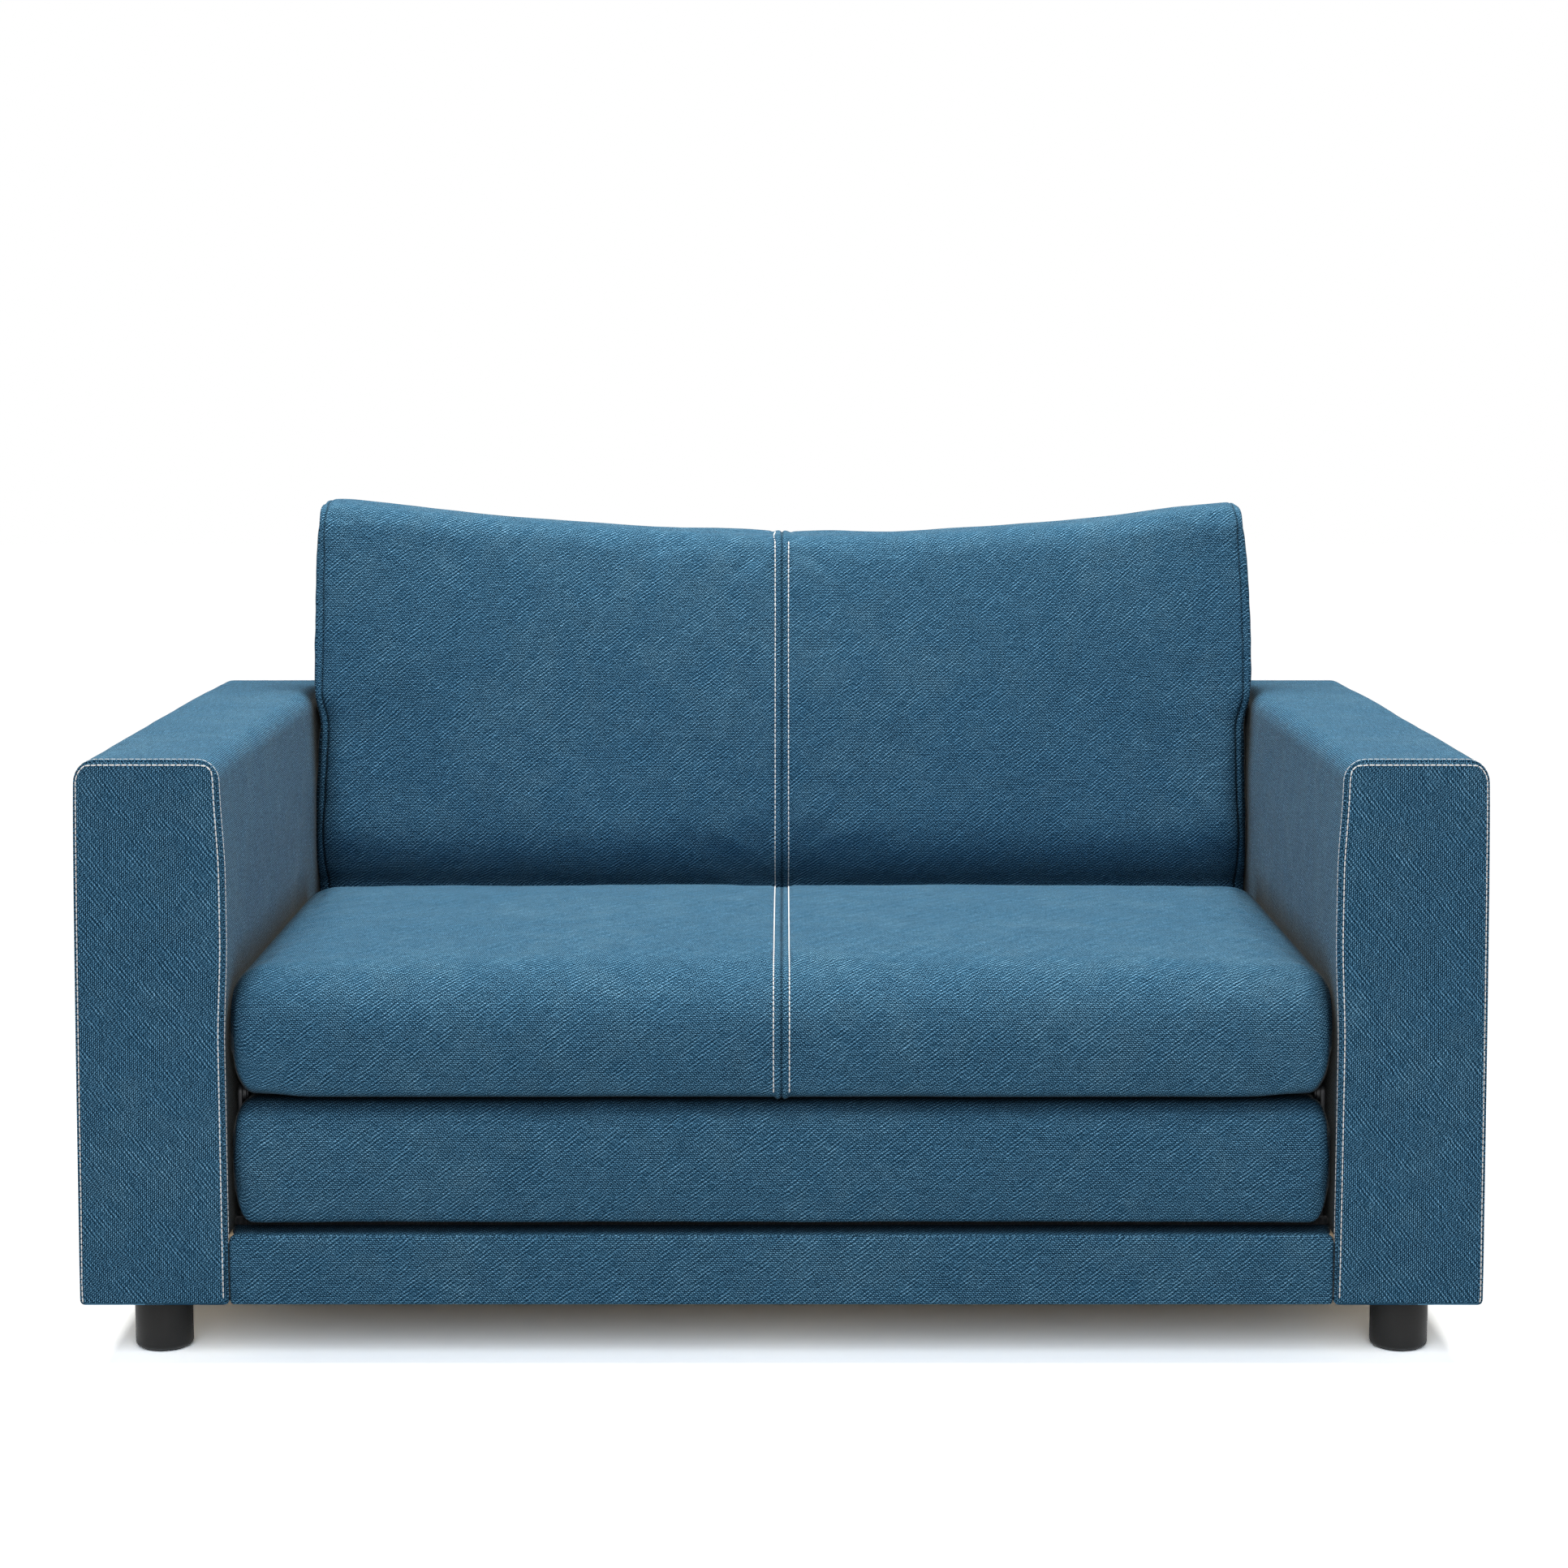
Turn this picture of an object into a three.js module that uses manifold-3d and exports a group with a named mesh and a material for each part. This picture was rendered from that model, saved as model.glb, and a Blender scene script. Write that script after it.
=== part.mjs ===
// Two seat sleeper sofa whose seat folds forward into a bed. Millimetres, +Z up, the front faces -Y.
// The origin is the middle of the footprint on the floor. Left and right are as seen from the front.
import * as THREE from "three";
import { mergeVertices } from "three/addons/utils/BufferGeometryUtils.js";
import Module from "manifold-3d";

const wasm = await Module();
wasm.setup();

// Overall sizes
const overall_width = 1420;
const overall_depth = 880;
const arm_width = 146;
const arm_height = 626;
const foot_height = 65;
const cushion_top_height = 854;

// Clearances
const contact_gap = 0.3;
const pad_side_gap = 4;
const fold_gap = 6;
const cut_overrun = 2;

// Arms
const arm_corner_radius = 22;
const arm_edge_bevel = 4;
const arm_wall = 12;
const arm_post_depth = 40;
const arm_board_thickness = 24;

// Back frame
const back_depth = 122;
const back_rake_degrees = 10;
const back_wall = 11;
const back_timber_height = 60;
const back_post_width = 45;

// Feet
const foot_radius = 30;
const foot_edge_radius = 6;
const foot_setback = 82;
const foot_outset = 8;

// Base frame
const apron_height = 78.2;
const apron_setback = 2;
const apron_wall = 5;
const apron_corner_radius = 9;
const base_rail_thickness = 22;
const base_rail_height = 56;
const side_rail_inset = 12;
const slat_thickness = 12;
const slat_width = 70;
const slat_count = 5;
const centre_beam_width = 30;

// Rear bed section, fixed on the base
const section_setback = 6;
const section_board_thickness = 6.9;
const rear_pad_height = 126;
const rear_pad_corner = 20;
const rear_pad_bulge = 5;

// Middle bed section, folded upside down under the seat
const middle_pad_height = 52;
const middle_board_thickness = 14;
const middle_pad_corner = 12;

// Front bed section, which is the seat
const seat_cushion_gap = 20.7;
const seat_side_height = 403;
const seat_crown = 15;
const seat_front_corner = 74;
const seat_rear_corner = 16;
const lip_bottom_gap = 3.4;
const lip_bottom_corner = 24;
const lip_end_rise_share = 2.6;
const lip_corner_draw_share = 0.9;
const seat_front_draw_share = 1.8;
const lip_clearance = 7;
const frame_tube = 22;
const frame_inset = 10;
const bed_slat_thickness = 6;
const bed_slat_width = 62;
const bed_slat_count = 3;

// Main hinge, one at each end of the fold between the rear and the middle section
const main_hinge_setback = 40;
const hinge_plate = 4;
const hinge_eye_radius = 8;
const hinge_pin_radius = 4;
const hinge_pin_clearance = 0.4;
const hinge_head_radius = 6.2;
const hinge_head_thickness = 1.6;
const hinge_arm_width = 12;
const hinge_foot_length = 100;
const hinge_bracket_drop = 46;
const hinge_notch_clearance = 2;

// Butt hinges between the middle and the front section
const butt_axis_offset = 4;
const butt_leaf_thickness = 2;
const butt_leaf_length = 80;
const butt_leaf_height = 8;
const butt_leaf_setback = 5;
const butt_barrel_radius = 3.4;
const butt_pin_radius = 1.8;
const butt_pin_clearance = 0.3;
const butt_barrel_gap = 0.5;
const butt_hinge_side_gap = 168;

// Folding legs under the front section
const leg_radius = 9;
const leg_axle_radius = 6;
const leg_axle_setback = 36;
const leg_floor_gap = 0.6;
const rear_leg_side_gap = 48;
const front_leg_side_gap = 88;
const leg_tip_bevel = 3;

// Back cushion
const cushion_thickness = 118;
const cushion_front_crown = 22;
const cushion_rear_crown = 7;
const cushion_corner = 30;
const cushion_top_sag = 34;
const cushion_top_taper = 10;

// Soft forms
const end_round = 26;
const end_draw = 13;
const seam_channel_depth = 3;
const seam_channel_half_width = 10;
const seam_channel_span_share = [0.45, 1, 1.7];
const seam_channel_depth_share = [0.6, 0.15, 0];
const span_share = [0.12, 0.28, 0.44, 0.6, 0.75, 0.87, 0.95];
const sag_power = 1.45;
const crown_power = 3;

// Places worked out from the sizes above
const half_width = overall_width / 2;
const inner_half = half_width - arm_width;
const front_y = -overall_depth / 2;
const back_y = overall_depth / 2;
const underside_z = foot_height + contact_gap;
const apron_top_z = underside_z + apron_height;
const side_rail_top_z = apron_top_z - slat_thickness - contact_gap;
const side_rail_low_z = side_rail_top_z - base_rail_height;
const side_rail_outer_x = inner_half - side_rail_inset;
const side_rail_inner_x = side_rail_outer_x - base_rail_thickness;
const back_front_y = back_y - back_depth;
const rake = Math.tan(THREE.MathUtils.degToRad(back_rake_degrees));
const front_rail_front_y = front_y + apron_setback + apron_wall + contact_gap;
const front_rail_back_y = front_rail_front_y + base_rail_thickness;
const rear_rail_back_y = back_front_y - contact_gap;
const rear_rail_front_y = rear_rail_back_y - base_rail_thickness;

const pad_half = inner_half - pad_side_gap;
const section_front_y = front_y + section_setback;
const section_back_y = back_front_y - contact_gap;
const section_board_low_z = apron_top_z + contact_gap;
const rear_pad_low_z = section_board_low_z + section_board_thickness + contact_gap;
const rear_pad_top_z = rear_pad_low_z + rear_pad_height;

const cushion_low_z = rear_pad_top_z + contact_gap;
const cushion_height = cushion_top_height - cushion_low_z;
const cushion_rear_y = back_front_y - contact_gap - cushion_rear_crown;
const cushion_front_y = cushion_rear_y - cushion_thickness;

const middle_low_z = rear_pad_top_z + 2 * contact_gap;
const middle_board_low_z = middle_low_z + middle_pad_height + contact_gap;
const middle_top_z = middle_board_low_z + middle_board_thickness;
const main_hinge_y = section_front_y + main_hinge_setback;
const main_hinge_z = (rear_pad_top_z + middle_low_z) / 2;
const middle_front_y = main_hinge_y + main_hinge_setback + fold_gap;
const seat_rear_y = cushion_front_y - seat_cushion_gap;

const bracket_inner_x = side_rail_outer_x + contact_gap;
const bracket_outer_x = bracket_inner_x + hinge_plate;
const arm_plate_outer_x = bracket_inner_x - contact_gap;
const arm_plate_inner_x = arm_plate_outer_x - hinge_plate;
const middle_half = arm_plate_inner_x - contact_gap;
const notch_inner_x = middle_half - hinge_head_thickness - contact_gap;
const butt_hinge_spread = middle_half - butt_hinge_side_gap;

const fold_axis_y = seat_rear_y + butt_axis_offset;
const fold_axis_z = middle_top_z + contact_gap / 2;
const frame_low_z = middle_top_z + contact_gap;
const frame_top_z = frame_low_z + frame_tube;
const bed_slat_top_z = frame_top_z + contact_gap + bed_slat_thickness;
const seat_low_z = bed_slat_top_z + contact_gap;
const lip_low_z = rear_pad_top_z + lip_bottom_gap;
const lip_back_y = middle_front_y - lip_clearance;
const frame_front_y = lip_back_y + contact_gap;
const frame_back_y = seat_rear_y;
const frame_outer_x = pad_half - frame_inset;
const frame_inner_x = frame_outer_x - frame_tube;

const rear_leg_spread = frame_inner_x - rear_leg_side_gap;
const front_leg_spread = frame_inner_x - front_leg_side_gap;
const leg_axle_z = frame_low_z + frame_tube / 2;
const rear_leg_axle_y = frame_back_y - frame_tube - leg_axle_setback + leg_radius;
const front_leg_axle_y = frame_front_y + frame_tube + leg_axle_setback - leg_radius;
const fold_drop = 2 * (fold_axis_z - main_hinge_z);
const leg_length = leg_axle_z - fold_drop - leg_floor_gap;


// Materials
const fabric_blue = 0x2f6a8c;
const timber_tan = 0xc9a577;
const plywood_tan = 0xd2b48a;
const steel_black = 0x24262a;
const steel_zinc = 0x9aa0a5;
const plastic_black = 0x26282b;
const lining_black = 0x17181a;

const finish_of = {
  fabric: { color: fabric_blue, roughness: 0.95, metalness: 0 },
  timber: { color: timber_tan, roughness: 0.75, metalness: 0 },
  plywood: { color: plywood_tan, roughness: 0.7, metalness: 0 },
  painted_steel: { color: steel_black, roughness: 0.45, metalness: 0.3 },
  zinc_steel: { color: steel_zinc, roughness: 0.35, metalness: 1 },
  plastic: { color: plastic_black, roughness: 0.55, metalness: 0 },
  lining: { color: lining_black, roughness: 0.95, metalness: 0 },
};

// A named mesh with a material of its own.
function piece(group, name, geometry, finish) {
  const mesh = new THREE.Mesh(geometry, new THREE.MeshStandardMaterial(finish_of[finish]));
  mesh.name = name;
  group.add(mesh);
}

function side_name(side) {
  return side < 0 ? "left" : "right";
}

// The solid of a closed geometry, for joins and cuts.
function to_solid(geometry) {
  const bare = geometry.clone();
  bare.deleteAttribute("normal");
  bare.deleteAttribute("uv");
  const merged = mergeVertices(bare);
  return new wasm.Manifold(
    new wasm.Mesh({
      numProp: 3,
      vertProperties: merged.attributes.position.array,
      triVerts: merged.index.array,
    }),
  );
}

function to_geometry(solid) {
  const mesh = solid.getMesh();
  const geometry = new THREE.BufferGeometry();
  geometry.setAttribute("position", new THREE.BufferAttribute(mesh.vertProperties, 3));
  geometry.setIndex(new THREE.BufferAttribute(mesh.triVerts, 1));
  geometry.computeVertexNormals();
  return geometry;
}

function cut(geometry, ...tools) {
  let solid = to_solid(geometry);
  for (const tool of tools) solid = solid.subtract(to_solid(tool));
  return to_geometry(solid);
}

function join(...geometries) {
  let solid = to_solid(geometries[0]);
  for (const more of geometries.slice(1)) solid = solid.add(to_solid(more));
  return to_geometry(solid);
}

// A box between two corners.
function block(low, high) {
  const geometry = new THREE.BoxGeometry(...high.map((value, axis) => value - low[axis]));
  geometry.translate(...high.map((value, axis) => (value + low[axis]) / 2));
  return geometry;
}

// The low and high X of what lies on one side, between an inner and an outer distance from the middle.
function side_span(side, inner_x, outer_x) {
  return side < 0 ? [-outer_x, -inner_x] : [inner_x, outer_x];
}

// A box on one side of the middle.
function side_block(side, inner_x, outer_x, low_yz, high_yz) {
  const [low_x, high_x] = side_span(side, inner_x, outer_x);
  return block([low_x, ...low_yz], [high_x, ...high_yz]);
}

// A round bar along X.
function bar_along_x(radius, low_x, high_x, y, z, sides = 24) {
  const geometry = new THREE.CylinderGeometry(radius, radius, high_x - low_x, sides);
  geometry.rotateZ(Math.PI / 2);
  geometry.translate((low_x + high_x) / 2, y, z);
  return geometry;
}

// A shape drawn in Y and Z, given its thickness along X.
function plate_across_x(shape, low_x, high_x) {
  const geometry = new THREE.ExtrudeGeometry(shape, {
    depth: high_x - low_x,
    bevelEnabled: false,
    curveSegments: 12,
  });
  const turn = new THREE.Matrix4().makeBasis(
    new THREE.Vector3(0, 1, 0),
    new THREE.Vector3(0, 0, 1),
    new THREE.Vector3(1, 0, 0),
  );
  geometry.applyMatrix4(turn);
  geometry.translate(low_x, 0, 0);
  return geometry;
}

function side_plate(side, shape, inner_x, outer_x) {
  const [low_x, high_x] = side_span(side, inner_x, outer_x);
  return plate_across_x(shape, low_x, high_x);
}

// A closed outline in Y and Z. Each corner is rounded by a soft curve that starts its radius away.
function soft_outline(corners, arc_steps) {
  const points = [];
  corners.forEach((corner, i) => {
    const here = new THREE.Vector2(corner.y, corner.z);
    const before = corners[(i + corners.length - 1) % corners.length];
    const after = corners[(i + 1) % corners.length];
    const back = new THREE.Vector2(before.y, before.z).sub(here).normalize();
    const ahead = new THREE.Vector2(after.y, after.z).sub(here).normalize();
    if (corner.radius > 0) {
      const start = here.clone().addScaledVector(back, corner.radius);
      const end = here.clone().addScaledVector(ahead, corner.radius);
      points.push(...new THREE.QuadraticBezierCurve(start, here, end).getPoints(arc_steps));
    } else points.push(here);
    const steps = corner.steps ?? 1;
    const from = points[points.length - 1];
    const to = new THREE.Vector2(after.y, after.z).addScaledVector(ahead, -after.radius);
    for (let k = 1; k < steps; k++) points.push(from.clone().lerp(to, k / steps));
  });
  return points;
}

// Corners drawn in by one distance, each the way it says.
function drawn_in(corners, distance) {
  return corners.map((corner) => ({
    ...corner,
    y: corner.y + corner.in_y * distance,
    z: corner.z + corner.in_z * distance,
    radius: corner.radius - (corner.in_radius ?? 0) * distance,
  }));
}

// Where the sections of a soft pad stand along X, and how far each is drawn in.
// The ends are round, and a sewn seam may run along the middle.
function pad_stations(half, with_seam) {
  const half_stations = [];
  if (with_seam) {
    half_stations.push([0, seam_channel_depth]);
    seam_channel_span_share.forEach((share, i) => {
      const depth = seam_channel_depth_share[i] * seam_channel_depth;
      half_stations.push([share * seam_channel_half_width, depth]);
    });
  } else half_stations.push([0, 0]);
  const straight = half - end_round;
  for (const share of span_share) half_stations.push([share * straight, 0]);
  const end_steps = 4;
  for (let k = 0; k <= end_steps; k++) {
    const turn = (k / end_steps) * (Math.PI / 2);
    half_stations.push([straight + end_round * Math.sin(turn), end_draw * (1 - Math.cos(turn))]);
  }
  const mirrored = half_stations.slice(1).map(([x, inset]) => [-x, inset]);
  return [...mirrored.reverse(), ...half_stations];
}

// A closed skin through sections that stand along X, closed at each end around a middle point.
function loft(sections, first_middle, last_middle) {
  const count = sections[0].length;
  const index = [];
  const first_hub = sections.length * count;
  const last_hub = first_hub + 1;
  const last_low = first_hub - count;
  for (let k = 0; k < count; k++) {
    const next = (k + 1) % count;
    for (let s = 0; s + 1 < sections.length; s++) {
      const low = s * count;
      const high = low + count;
      index.push(low + k, low + next, high + next, low + k, high + next, high + k);
    }
    index.push(first_hub, next, k);
    index.push(last_hub, last_low + k, last_low + next);
  }
  const geometry = new THREE.BufferGeometry();
  geometry.setFromPoints([...sections.flat(), first_middle, last_middle]);
  geometry.setIndex(index);
  geometry.computeVertexNormals();
  return geometry;
}

// A soft pad: an outline carried along X, then shaped point by point.
// The heart is a point inside it that sees the whole outline.
function soft_pad(corners, heart, half, with_seam, arc_steps, shape_point) {
  const stations = pad_stations(half, with_seam);
  const sections = stations.map(([x, inset]) =>
    soft_outline(drawn_in(corners, inset), arc_steps).map((p) => shape_point(x, p.x, p.y)),
  );
  return loft(sections, shape_point(-half, heart.y, heart.z), shape_point(half, heart.y, heart.z));
}

// The middle of an outline's corners.
function middle_of(corners) {
  const total = { y: 0, z: 0 };
  for (const corner of corners) {
    total.y += corner.y / corners.length;
    total.z += corner.z / corners.length;
  }
  return total;
}

// How far a soft face stands out, from nothing at both edges to one in the middle.
function swell(value, low, high, power) {
  const share = (2 * value - low - high) / (high - low);
  return Math.max(0, 1 - Math.abs(share) ** power);
}

// Arms: an upholstered cover, open below, over a timber box.
function add_arm(group, side) {
  const name = side_name(side);
  const inner_x = inner_half;
  const outer_x = half_width;
  const outline = new THREE.Shape();
  const [low_x, high_x] = side_span(side, inner_x, outer_x);
  outline.moveTo(low_x, underside_z);
  outline.lineTo(high_x, underside_z);
  const shoulder_z = arm_height - arm_corner_radius;
  const quarter = Math.PI / 2;
  outline.absarc(high_x - arm_corner_radius, shoulder_z, arm_corner_radius, 0, quarter);
  outline.absarc(low_x + arm_corner_radius, shoulder_z, arm_corner_radius, quarter, Math.PI);
  const body = new THREE.ExtrudeGeometry(outline, {
    depth: overall_depth - 2 * arm_edge_bevel,
    bevelThickness: arm_edge_bevel,
    bevelSize: arm_edge_bevel,
    bevelOffset: -arm_edge_bevel,
    bevelSegments: 2,
    curveSegments: 6,
  });
  body.rotateX(Math.PI / 2);
  body.translate(0, back_y - arm_edge_bevel, 0);
  const cavity = side_block(
    side,
    inner_x + arm_wall,
    outer_x - arm_wall,
    [front_y + arm_wall, underside_z - arm_wall],
    [back_y - arm_wall, arm_height - arm_wall],
  );
  piece(group, `arm_cover_${name}`, cut(body, cavity), "fabric");

  const timber_inner_x = inner_x + arm_wall + contact_gap;
  const timber_outer_x = outer_x - arm_wall - contact_gap;
  const timber_front_y = front_y + arm_wall + contact_gap;
  const timber_back_y = back_y - arm_wall - contact_gap;
  const board_low_z = underside_z + arm_edge_bevel;
  const post_low_z = board_low_z + arm_board_thickness + contact_gap;
  const top_rail_high_z = arm_height - arm_wall - contact_gap;
  const top_rail_low_z = top_rail_high_z - arm_board_thickness;
  const post_high_z = top_rail_low_z - contact_gap;
  const board = side_block(
    side,
    timber_inner_x,
    timber_outer_x,
    [timber_front_y, underside_z],
    [timber_back_y, post_low_z - contact_gap],
  );
  piece(group, `arm_base_board_${name}`, board, "timber");
  const front_post = side_block(
    side,
    timber_inner_x,
    timber_outer_x,
    [timber_front_y, post_low_z],
    [timber_front_y + arm_post_depth, post_high_z],
  );
  piece(group, `arm_front_post_${name}`, front_post, "timber");
  const rear_post = side_block(
    side,
    timber_inner_x,
    timber_outer_x,
    [timber_back_y - arm_post_depth, post_low_z],
    [timber_back_y, post_high_z],
  );
  piece(group, `arm_rear_post_${name}`, rear_post, "timber");
  const top_rail = side_block(
    side,
    timber_inner_x,
    timber_outer_x,
    [timber_front_y, top_rail_low_z],
    [timber_back_y, top_rail_high_z],
  );
  piece(group, `arm_top_rail_${name}`, top_rail, "timber");
}

// Feet: turned round blocks under the arms.
function add_feet(group) {
  const foot_x = half_width - arm_width / 2 + foot_outset;
  const foot_y = { front: front_y + foot_setback, rear: back_y - foot_setback };
  for (const [end, y] of Object.entries(foot_y))
    for (const side of [-1, 1]) {
      const edge = new THREE.Path();
      edge.moveTo(0, 0);
      edge.lineTo(foot_radius - foot_edge_radius, 0);
      edge.absarc(foot_radius - foot_edge_radius, foot_edge_radius, foot_edge_radius, -Math.PI / 2, 0);
      edge.lineTo(foot_radius, foot_height);
      edge.lineTo(0, foot_height);
      const foot = new THREE.LatheGeometry(edge.getPoints(2), 28);
      foot.rotateX(Math.PI / 2);
      foot.translate(side * foot_x, y, 0);
      piece(group, `foot_${end}_${side_name(side)}`, foot, "plastic");
    }
}

// The line of the back frame's front face, upright to the top of the rear pad and raked above it.
function back_outline(front_offset, rear_offset, low_z, high_z) {
  const knee_z = rear_pad_top_z;
  const front_at = (z) => back_front_y + Math.max(0, z - knee_z) * rake + front_offset;
  const shape = new THREE.Shape();
  shape.moveTo(front_at(low_z), low_z);
  shape.lineTo(back_y - rear_offset, low_z);
  shape.lineTo(back_y - rear_offset, high_z);
  shape.lineTo(front_at(high_z), high_z);
  if (low_z < knee_z && knee_z < high_z) shape.lineTo(front_at(knee_z), knee_z);
  return shape;
}

// Back frame: an upholstered cover, open below, over a timber frame.
function add_back(group) {
  const cover_half = inner_half - contact_gap;
  const outer = plate_across_x(back_outline(0, 0, underside_z, arm_height), -cover_half, cover_half);
  const cavity_half = cover_half - back_wall;
  const cavity_low_z = underside_z - back_wall;
  const cavity_high_z = arm_height - back_wall;
  const cavity = plate_across_x(
    back_outline(back_wall, back_wall, cavity_low_z, cavity_high_z),
    -cavity_half,
    cavity_half,
  );
  piece(group, "back_cover", cut(outer, cavity), "fabric");

  const timber_wall = back_wall + contact_gap;
  const timber_half = cavity_half - contact_gap;
  const top_high_z = cavity_high_z - contact_gap;
  const top_low_z = top_high_z - back_timber_height;
  const base_high_z = underside_z + back_timber_height;
  const top_rail = plate_across_x(
    back_outline(timber_wall, timber_wall, top_low_z, top_high_z),
    -timber_half,
    timber_half,
  );
  piece(group, "back_top_rail", top_rail, "timber");
  const base_rail = plate_across_x(
    back_outline(timber_wall, timber_wall, underside_z, base_high_z),
    -timber_half,
    timber_half,
  );
  piece(group, "back_base_rail", base_rail, "timber");
  const post_ends = [base_high_z + contact_gap, top_low_z - contact_gap];
  const post_shape = back_outline(timber_wall, timber_wall, ...post_ends);
  for (const side of [-1, 1]) {
    const post = side_plate(side, post_shape, timber_half - back_post_width, timber_half);
    piece(group, `back_post_${side_name(side)}`, post, "timber");
  }
}

// Base frame: an upholstered apron over the front rail, rails, a centre beam and slats.
function add_base(group) {
  const span_half = inner_half - contact_gap;
  const apron_front_y = front_y + apron_setback;
  const apron_corners = [
    { y: apron_front_y, z: underside_z, radius: 0 },
    { y: front_rail_back_y, z: underside_z, radius: 0 },
    { y: front_rail_back_y, z: apron_top_z, radius: 0 },
    { y: apron_front_y, z: apron_top_z, radius: apron_corner_radius },
  ];
  const apron_shape = new THREE.Shape(soft_outline(apron_corners, 5));
  const apron_body = plate_across_x(apron_shape, -span_half, span_half);
  const apron_hollow = block(
    [-span_half - cut_overrun, apron_front_y + apron_wall, underside_z + apron_wall],
    [span_half + cut_overrun, front_rail_back_y + cut_overrun, apron_top_z - apron_wall],
  );
  piece(group, "apron_cover", cut(apron_body, apron_hollow), "fabric");
  const front_rail = block(
    [-span_half, front_rail_front_y, underside_z + apron_wall + contact_gap],
    [span_half, front_rail_back_y, apron_top_z - apron_wall - contact_gap],
  );
  piece(group, "front_rail", front_rail, "timber");
  const rear_rail = block(
    [-span_half, rear_rail_front_y, side_rail_low_z],
    [span_half, rear_rail_back_y, apron_top_z],
  );
  piece(group, "rear_rail", rear_rail, "timber");

  const rail_front_y = front_rail_back_y + contact_gap;
  const rail_back_y = rear_rail_front_y - contact_gap;
  for (const side of [-1, 1]) {
    const rail = side_block(
      side,
      side_rail_inner_x,
      side_rail_outer_x,
      [rail_front_y, side_rail_low_z],
      [rail_back_y, side_rail_top_z],
    );
    piece(group, `base_side_rail_${side_name(side)}`, rail, "timber");
  }
  const beam = block(
    [-centre_beam_width / 2, rail_front_y, side_rail_low_z],
    [centre_beam_width / 2, rail_back_y, side_rail_top_z],
  );
  piece(group, "centre_beam", beam, "timber");

  const slat_run = rail_back_y - rail_front_y - slat_width;
  for (let i = 0; i < slat_count; i++) {
    const low_y = rail_front_y + (slat_run * i) / (slat_count - 1);
    const slat = block(
      [-side_rail_outer_x, low_y, side_rail_top_z + contact_gap],
      [side_rail_outer_x, low_y + slat_width, apron_top_z],
    );
    piece(group, `base_slat_${i + 1}`, slat, "timber");
  }
}

// The clear spaces that the main hinge needs in the soft sections beside it.
function hinge_notches(side) {
  const outer_x = inner_half + cut_overrun;
  const reach = hinge_eye_radius + hinge_notch_clearance;
  const bracket_notch = side_block(
    side,
    notch_inner_x,
    outer_x,
    [main_hinge_y - reach, section_board_low_z - cut_overrun],
    [main_hinge_y + reach, main_hinge_z + reach],
  );
  const arm_far_y = middle_front_y + hinge_arm_width + hinge_notch_clearance;
  const sweep = Math.hypot(arm_far_y - main_hinge_y, hinge_eye_radius) + hinge_notch_clearance;
  const arm_notch = side_block(
    side,
    notch_inner_x,
    outer_x,
    [main_hinge_y - reach, main_hinge_z - reach],
    [main_hinge_y + sweep, main_hinge_z + reach],
  );
  return [bracket_notch, arm_notch];
}

// Rear section: a black lined board and a thick pad, fixed on the base.
function add_rear_section(group) {
  const notches = [...hinge_notches(-1), ...hinge_notches(1)];
  const board = block(
    [-pad_half, section_front_y + rear_pad_bulge, section_board_low_z],
    [pad_half, section_back_y, section_board_low_z + section_board_thickness],
  );
  piece(group, "rear_section_board", cut(board, ...notches), "lining");
  const corners = [
    { y: section_back_y, z: rear_pad_low_z, radius: middle_pad_corner, in_y: 0, in_z: 1 },
    { y: section_back_y, z: rear_pad_top_z, radius: middle_pad_corner, in_y: 0, in_z: -1, steps: 4 },
    { y: section_front_y, z: rear_pad_top_z, radius: rear_pad_corner, in_y: 1, in_z: -1, steps: 4 },
    { y: section_front_y, z: rear_pad_low_z, radius: rear_pad_corner, in_y: 1, in_z: 1, steps: 2 },
  ];
  const body = soft_pad(corners, middle_of(corners), pad_half, false, 4, (x, y, z) => {
    const near_front = Math.max(0, 1 - (y - section_front_y) / rear_pad_corner);
    const flatten = rear_pad_bulge * near_front * (1 - swell(z, rear_pad_low_z, rear_pad_top_z, 2));
    return new THREE.Vector3(x, y + flatten, z);
  });
  piece(group, "rear_section_pad", cut(body, ...notches), "fabric");
}

// Main hinge brackets on the base, each with its riveted pin.
function add_main_brackets(group) {
  for (const side of [-1, 1]) {
    const shape = new THREE.Shape();
    const low_z = side_rail_top_z - hinge_bracket_drop;
    shape.moveTo(main_hinge_y - hinge_eye_radius, low_z);
    shape.lineTo(main_hinge_y + hinge_eye_radius, low_z);
    shape.absarc(main_hinge_y, main_hinge_z, hinge_eye_radius, 0, Math.PI);
    const plate = side_plate(side, shape, bracket_inner_x, bracket_outer_x);
    const head_inner_x = middle_half - hinge_head_thickness;
    const pin_ends = side_span(side, head_inner_x, bracket_outer_x);
    const head_ends = side_span(side, head_inner_x, middle_half);
    const pin = bar_along_x(hinge_pin_radius, ...pin_ends, main_hinge_y, main_hinge_z);
    const head = bar_along_x(hinge_head_radius, ...head_ends, main_hinge_y, main_hinge_z);
    piece(group, `main_hinge_bracket_${side_name(side)}`, join(plate, pin, head), "painted_steel");
  }
}

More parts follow.
